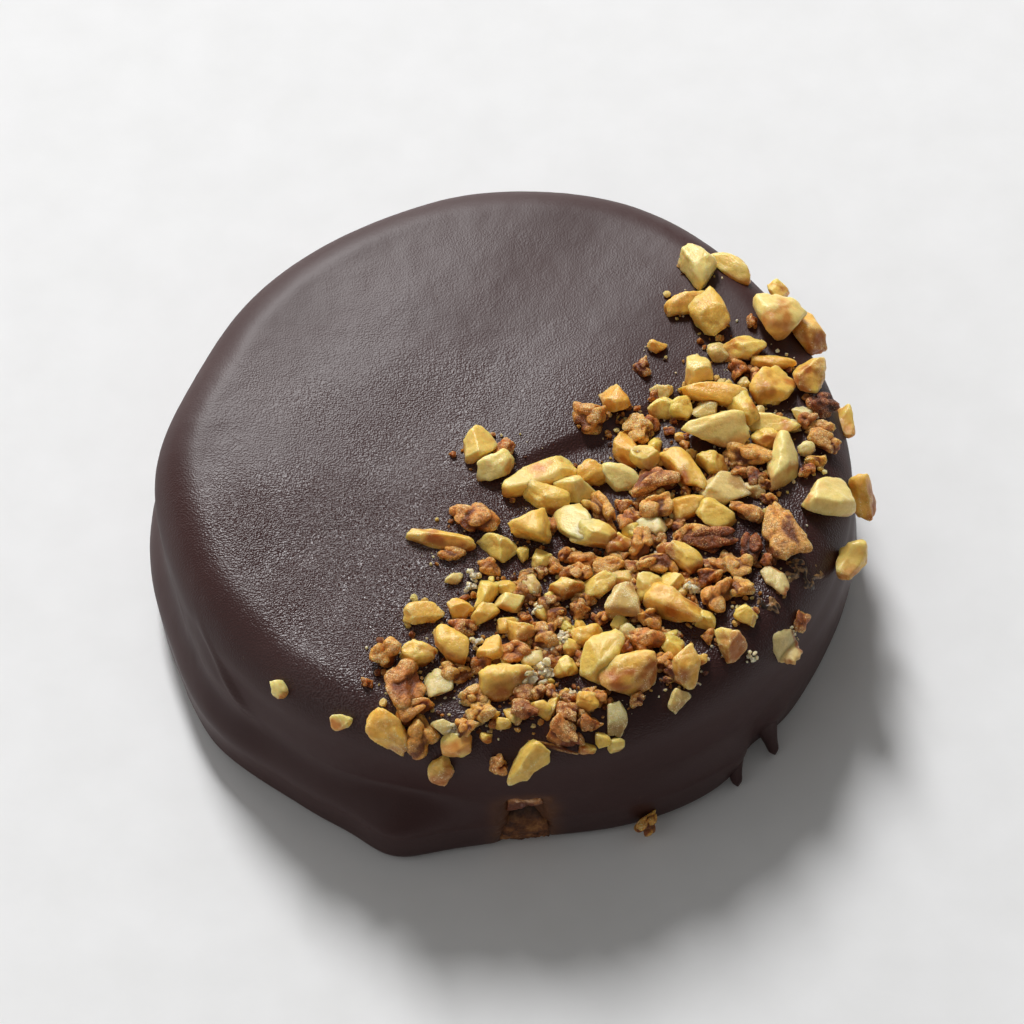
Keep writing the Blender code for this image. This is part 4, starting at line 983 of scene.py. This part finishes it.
def nut_paint(name):
    """Chopped nut: its own tone between two colours, browned, with painted shade low down, in front and in
    pits, paler on crumbly edges, with sandy grain, a few sugar grains and a soft inner glow."""
    light, deep, brown_and_shade_colour, crest, frost, *shares = FINISHES[name]
    brown_and_shade_share, crest_share, pit_shade, mottle, sugar, grain, rough, shine = shares
    paint = Paint(name)
    edge = paint.attribute("crest")
    body = paint.mix(paint.attribute("tone"), light, deep)
    # painted shade: hollows between knobs and edges, and the low and front sides, take the brown colour
    pit_shade_mask = paint.times(paint.math("SUBTRACT", 0.5, edge), pit_shade)
    brown_and_shade_mask = paint.ramp(paint.math("ADD", paint.attribute("browning_and_shade"), pit_shade_mask), (0.30, 0.0), (0.95, 1.0))
    body = paint.mix(paint.times(brown_and_shade_mask, brown_and_shade_share), body, brown_and_shade_colour)
    sand = paint.noise(0.42, 4.0, 0.7)
    crumbly = paint.ramp(sand, (0.38, 0.2), (0.6, 1.0))
    crumbly = paint.times(paint.ramp(edge, (0.45, 0.0), (1.0, 1.0)), crumbly)
    body = paint.mix(paint.times(crumbly, crest_share), body, crest)
    tint = paint.ramp(sand, (0.30, 1.0 - 0.8 * mottle), (0.70, 1.0 + 0.6 * mottle))
    body = paint.mix(1.0, body, tint, "MULTIPLY")
    frosty = paint.math("ADD", paint.noise(0.12, 1.0), paint.times(paint.math("SUBTRACT", edge, 0.5), 0.30))
    crystal = paint.ramp(frosty, (1.0 - sugar, 0.0), (1.04 - sugar, 1.0))
    body = paint.mix(crystal, body, frost)
    coarse = paint.bump(sand, 0.13 * grain, 0.8)
    fine = paint.bump(paint.noise(0.16, 2.0), 0.055 * grain, 0.8, coarse)
    paint.set(Base_Color=body, Roughness=paint.ramp(crystal, (0.2, rough), (0.8, 0.28)),
              Normal=paint.bump(crystal, 0.04, 0.6, fine), Specular_IOR_Level=shine,
              Subsurface_Weight=GLOW, Subsurface_Scale=GLOW_SCALE, Subsurface_Radius=GLOW_REACH)
    return paint.material


def nearest_gap(place, rows):
    """Distance from a place to the edge of the nearest nut."""
    return min(math.hypot(place[0] - row[0], place[1] - row[1]) - (row[2] + row[3]) / 4.0 for row in rows)


def band_place(rng):
    """Seeded place beside the spine of the band of nuts, or None too near the edge of the top."""
    along = rng.uniform(0.0, len(BAND_SPINE) - 1.001)
    leg = int(along)
    (x, y), (end_x, end_y) = BAND_SPINE[leg:leg + 2]
    x = x + (along - leg) * (end_x - x) + rng.gauss(0.0, BAND_SPREAD)
    y = y + (along - leg) * (end_y - y) + rng.gauss(0.0, BAND_SPREAD)
    return (x, y) if math.hypot(x, y) < BROW_RADIUS - BAND_MARGIN else None


def patch_place(rng):
    """Seeded place in one of the patches where bits lie thick."""
    x, y, spread = rng.choice(PATCHES)
    x += rng.gauss(0.0, spread)
    y += rng.gauss(0.0, spread)
    inside = min(1.0, (BROW_RADIUS - PATCH_MARGIN) / math.hypot(x, y))
    return x * inside, y * inside


def seeded_bits(rows, place, count, tries, lengths, seed):
    """Small nut bits: each takes the emptiest of a few seeded places."""
    rng = random.Random(seed)
    taken = list(rows)
    for _ in range(count):
        places = [place(rng) for _ in range(tries)]
        x, y = max(filter(None, places), key=lambda spot: nearest_gap(spot, taken))
        length = rng.uniform(*lengths)
        taken.append((x, y, length, length * rng.uniform(*BIT_WIDTHS), length * rng.uniform(*BIT_HEIGHTS),
                      rng.uniform(0.0, 180.0)))
    return taken[len(rows):]


def is_shard(row):
    """Whether a row of the nut tables is one of the thin shards, which have a form of their own."""
    return any(math.hypot(row[0] - shard[0], row[1] - shard[1]) < 1.0 for shard in SHARDS)


def all_nuts():
    """Rows of each kind of nut with the numbers their shapes are seeded by, in the order of NUT_KINDS."""
    large = PALE_NUTS + GOLD_NUTS + ROAST_NUTS + DARK_NUTS + CLEAR_NUTS
    bits = seeded_bits(large, band_place, *BAND_BITS)
    more = seeded_bits(large + SMALL_GOLD + SMALL_ROAST + SMALL_CLEAR, patch_place, *PATCH_BITS)
    gold_share = len(more) // 4
    kinds = pale, gold, roast, dark, clear, small_gold, small_roast, small_clear = [[] for _ in NUT_KINDS]
    first = 0
    for kind, rows in ((pale, PALE_NUTS), (gold, GOLD_NUTS), (roast, ROAST_NUTS), (dark, DARK_NUTS),
                       (clear, CLEAR_NUTS), (small_roast, bits), (small_gold, SMALL_GOLD),
                       (small_roast, SMALL_ROAST), (small_clear, SMALL_CLEAR),
                       (small_gold, more[:gold_share]), (small_roast, more[gold_share:])):
        kind.extend(enumerate(rows, first))
        first += len(rows)
    kinds[0] = [(number, row) for number, row in pale if not is_shard(row)]
    return kinds


def make_nuts():
    """One piece for each kind and size of nut, with its own finish."""
    paints = {finish: nut_paint(finish) for finish in dict.fromkeys(kind[1] for kind in NUT_KINDS)}
    for (name, finish, rows, columns, knob_height, grain), numbered in zip(NUT_KINDS, all_nuts()):
        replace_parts(nuts_piece(name, paints[finish], numbered, rows, columns, knob_height, grain), "coat")


# ---- crumbs, shards and flakes ----

def crumb_places(rng, count, wander):
    """Seeded places near the nuts: beside the edge of a nut drawn by chance, a little way off."""
    tables = PALE_NUTS + GOLD_NUTS + ROAST_NUTS + CLEAR_NUTS + SMALL_GOLD + SMALL_ROAST
    rows = [row for row in tables if len(row) == 6]
    x, y, length, width = np.array([rows[index][:4] for index in rng.integers(0, len(rows), count)]).T
    turn = rng.uniform(0.0, math.tau, count)
    off = (length + width) / 4.4 + np.abs(rng.normal(0.0, wander, count))
    return x + off * np.cos(turn), y + off * np.sin(turn)


def crumbs_piece(name, matter, x, y, sizes, seed, lift=0.0):
    """Small crumbs as one mesh: for each a ball of directions cut back by seeded planes, a little sunk."""
    rng = np.random.default_rng(seed)
    ways = way_grid(CRUMB_RINGS, CRUMB_SIDES)
    count = len(x)
    shape = sizes[:, None] * rng.uniform(0.65, 1.0, (count, 3)) * np.array([1.0, 1.0, 0.8]) / 2.0
    planes = rng.normal(size=(count, CRUMB_CUTS, 3))
    planes /= np.linalg.norm(planes, axis=-1, keepdims=True)
    near = np.einsum("wk,cpk->cwp", ways, planes) / rng.uniform(0.55, 1.0, (count, 1, CRUMB_CUTS))
    bumps = 1.0 / np.maximum(near.max(axis=-1), 0.78) - 1.0 + 0.10 * rng.uniform(-1.0, 1.0, near.shape[:2])
    turn = rng.uniform(0.0, math.tau, count)[:, None]
    long, wide, high = np.moveaxis(ways * (1.0 + bumps)[..., None] * shape[:, None], -1, 0)
    across = long * np.cos(turn) - wide * np.sin(turn) + x[:, None]
    along = long * np.sin(turn) + wide * np.cos(turn) + y[:, None]
    height = high + (coat_height(x, y) + sizes * CRUMB_RISE + lift)[:, None]
    points = np.stack([across, along, height], axis=-1).reshape(-1, 3)
    guides = {"tone": np.repeat(rng.random(count), len(ways)),
              "browning_and_shade": np.repeat(rng.random(count), len(ways)),
              "crest": np.clip(0.4 + 1.5 * bumps, 0.0, 1.0)}
    add_piece(name, points, grid_faces(CRUMB_RINGS, CRUMB_SIDES, count), matter, guides, crisp=True)


def make_crumbs():
    """Crumbs between the nuts by kind, the sugar last, and little heaps with the sugar's finish."""
    for name, finish, count, wander, least, most, seed in CRUMB_KINDS:
        rng = np.random.default_rng(seed)
        x, y = crumb_places(rng, count, wander)
        sizes = least + (most - least) * rng.random(count) ** CRUMB_SMALLNESS
        kept = np.hypot(x, y) < BROW_RADIUS - CRUMB_MARGIN
        matter = nut_paint(finish)
        crumbs_piece(name, matter, x[kept], y[kept], sizes[kept], seed)
    sugar = matter
    rng = np.random.default_rng(HEAP_SEEDS[0])
    x, y, size = np.repeat(np.array(SUGAR_HEAPS), HEAP_GRAINS, axis=0).T
    off_x, off_y = rng.normal(0.0, HEAP_SPREAD, (len(size), 2)).T * size
    lift = HEAP_RISE * size * np.exp(-(off_x ** 2 + off_y ** 2) / 0.5) * rng.random(len(size))
    sizes = rng.uniform(0.35, 1.0, len(size)) * size
    crumbs_piece("sugar_heaps", sugar, x + off_x, y + off_y, sizes, HEAP_SEEDS[1], lift)


def ragged_rim(around, seed, layers):
    """Unevenness round a closed rim."""
    rim = np.stack([np.cos(around), np.sin(around), np.full_like(around, seed)], axis=-1)
    return uneven(rim, layers, seed)


def laid_oval(x, y, long, wide, turn, reach, around):
    """Points at z = 0 of a turned oval about a place: reach is their share of its half length and width."""
    own_x = long / 2.0 * reach * np.cos(around)
    own_y = wide / 2.0 * reach * np.sin(around)
    place_x = x + own_x * math.cos(turn) - own_y * math.sin(turn)
    place_y = y + own_x * math.sin(turn) + own_y * math.cos(turn)
    return np.stack([place_x, place_y, np.zeros_like(place_x)], axis=-1)


def shard_points(x, y, long, wide, thick, turn, lift, seed):
    """A thin splintered shard on the coat: rings from under its middle, round its rim and back over the top.

    Its outline is the inside of a few seeded straight cuts, its top is dished, it leans a little, and its
    rim is browned in patches.
    """
    rng = np.random.default_rng(seed)
    around = np.linspace(0.0, math.tau, SHARD_SIDES, endpoint=False)
    cuts = np.arange(SHARD_CUTS) * math.tau / SHARD_CUTS + rng.uniform(-0.35, 0.35, SHARD_CUTS)
    near = np.cos(around[:, None] - cuts) / rng.uniform(0.62, 1.05, SHARD_CUTS)
    outline = np.minimum(1.0 / near.max(axis=1), 1.25) * (1.0 + ragged_rim(around, seed, SHARD_RAGGED))
    half = SHARD_RINGS // 2
    share = np.concatenate([np.linspace(0.1, 1.0, half), np.linspace(1.0, 0.1, half)])[:, None]
    over = (np.arange(SHARD_RINGS) >= half)[:, None]
    points = laid_oval(x, y, long, wide, math.radians(turn), share * outline, around)
    ground = coat_height(points[..., 0], points[..., 1])
    middle = coat_height(np.array([x]), np.array([y]))[0] + lift
    patchy = 0.45 + 0.55 * smooth(noise(points, 1.2, seed + 3), -0.3, 0.3)
    top = thick * (1.0 - 0.5 * share ** 4) + uneven(points, SHARD_DISH, seed)
    lean = 0.55 * (ground - middle + lift)
    points[..., 2] = middle + lean + np.where(over, top, -0.6 * (1.0 - share ** 2))
    browning_and_shade = np.clip(1.2 * smooth(share, 0.55, 0.95) * patchy, 0.0, 1.0)
    everything = with_ends(points, (x, y, middle - 0.6), (x, y, points[-1, :, 2].mean()))
    return everything, {"browning_and_shade": np.append(browning_and_shade.ravel(), [0.0, 0.0])}


def shards_piece():
    """Both pale, half clear shards as one mesh."""
    points, guides = joined([shard_points(*row) for row in SHARDS])
    guides = {"tone": np.full(len(points), 0.2), **guides, "crest": np.full(len(points), 0.55)}
    faces = grid_faces(SHARD_RINGS, SHARD_SIDES, len(SHARDS))
    return add_piece("pale_shards", points, faces, nut_paint("shard"), guides)


def flake_points(x, y, long, wide, turn, seed):
    """A thin burnt flake lying on the coat: crinkled rings about its middle, with a ragged rim."""
    share = np.linspace(0.08, 1.0, FLAKE_RINGS)[:, None]
    around = np.linspace(0.0, math.tau, FLAKE_SIDES, endpoint=False)[None, :]
    reach = share * (1.0 + ragged_rim(around, seed, FLAKE_RAGGED))
    top = laid_oval(x, y, long, wide, turn, reach, around)
    crinkle = 0.55 * (0.5 - np.abs(noise(top, 0.8, seed + 2))) + 0.16 * noise(top, 0.35, seed + 3)
    lift = (0.14 + crinkle) * (1.0 - share ** 4) - 0.03 * share ** 4
    top[..., 2] = coat_height(top[..., 0], top[..., 1]) + lift
    under = top[-1:] - np.array([0.0, 0.0, 0.25])
    low = [x, y, coat_height(np.array([x]), np.array([y]))[0] - 0.4]
    high = [x, y, top[0, :, 2].mean()]
    return with_ends(np.concatenate([under, top[::-1]]), low, high)


def flakes_piece():
    """Burnt flakes of skin by the right edge: dark film with ochre veins."""
    paint = Paint("burnt_flake")
    near_vein = paint.math("ABSOLUTE", paint.math("SUBTRACT", paint.noise(0.8, 2.0, 0.6), 0.5), 0.0)
    broken = paint.ramp(paint.noise(0.6, 1.0), (0.42, 0.0), (0.56, 1.0))
    veins = paint.times(paint.ramp(near_vein, (0.01, 1.0), (0.16, 0.0)), broken)
    base = paint.mix(veins, (0.030, 0.014, 0.007), (0.36, 0.19, 0.065))
    specks = paint.ramp(paint.noise(0.3, 1.0), (0.66, 0.0), (0.72, 1.0))
    base = paint.mix(specks, base, (0.40, 0.13, 0.04))
    paint.set(Base_Color=base, Roughness=0.42, Normal=paint.bump(paint.noise(0.4, 3.0), 0.16, 0.8))
    points = np.concatenate([flake_points(*row) for row in FLAKES])
    faces = grid_faces(FLAKE_RINGS + 1, FLAKE_SIDES, len(FLAKES))
    add_piece("burnt_flakes", points, faces, paint.material, {})


# ---- stage ----

def make_floor():
    """Plain pale floor: a wide square with faint mottling."""
    half = FLOOR_HALF
    corners = [(-half, -half, 0), (half, -half, 0), (half, half, 0), (-half, half, 0)]
    mesh = bpy.data.meshes.new("floor")
    mesh.from_pydata(corners, [], [(0, 1, 2, 3)])
    paint = Paint("floor_finish")
    tint = paint.ramp(paint.noise(6.0, 4.0), (0.3, (0.825, 0.825, 0.82)), (0.7, (0.86, 0.86, 0.858)))
    paint.set(Base_Color=tint, Roughness=0.9, Normal=paint.bump(paint.noise(1.5, 3.0), 0.02, 0.4))
    mesh.materials.append(paint.material)
    floor = bpy.data.objects.new("floor", mesh)
    bpy.context.scene.collection.objects.link(floor)


def make_light():
    """One soft window behind, a little to the left, a weak fill and a low glow, and a weak even sky."""
    for name, shape, size, size_y, power, colour, way, distance in LIGHTS:
        lamp = bpy.data.lights.new(name, "AREA")
        lamp.shape = shape
        lamp.size = size
        lamp.size_y = size_y
        lamp.energy = power
        lamp.color = colour
        way = Vector(way).normalized()
        light = bpy.data.objects.new(name, lamp)
        light.location = way * distance
        light.rotation_euler = way.to_track_quat("Z", "Y").to_euler()
        bpy.context.scene.collection.objects.link(light)
    world = bpy.data.worlds.new("sky")
    world.use_nodes = True
    sky = world.node_tree.nodes["Background"]
    sky.inputs["Color"].default_value = SKY_COLOUR
    sky.inputs["Strength"].default_value = SKY_STRENGTH
    bpy.context.scene.world = world
    bpy.context.scene.view_settings.view_transform = "Standard"


def make_camera():
    """Camera at the photograph's angle, looking down from the side with the nuts."""
    lens = bpy.data.cameras.new("camera")
    lens.lens = CAMERA_LENS
    lens.sensor_width = 36.0
    lens.clip_start = 0.01
    camera = bpy.data.objects.new("camera", lens)
    tilt = math.radians(CAMERA_ELEVATION)
    back = Vector((0.0, -math.cos(tilt), math.sin(tilt)))
    camera.location = Vector(CAMERA_TARGET) + back * CAMERA_DISTANCE
    camera.rotation_euler = (math.radians(90.0 - CAMERA_ELEVATION), 0.0, 0.0)
    bpy.context.scene.collection.objects.link(camera)
    bpy.context.scene.camera = camera


def main():
    make_camera()
    make_floor()
    make_light()
    chocolate = chocolate_paint()
    coat = coat_piece(chocolate)
    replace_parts(coat, "coat")
    drips_piece(chocolate)
    biscuit = layer_piece("lower_biscuit", "baked_biscuit", biscuit_paint(), BISCUIT_HEIGHTS, BISCUIT_FACE,
                          *BISCUIT_TONGUE)
    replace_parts(biscuit, "biscuit")
    filling = layer_piece("caramel_layer", "caramel_filling", caramel_paint(), FILLING_HEIGHTS, FILLING_FACE,
                          *FILLING_TONGUE)
    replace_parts(filling, "filling")
    make_nuts()
    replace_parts(shards_piece(), "coat")
    make_crumbs()
    flakes_piece()


main()
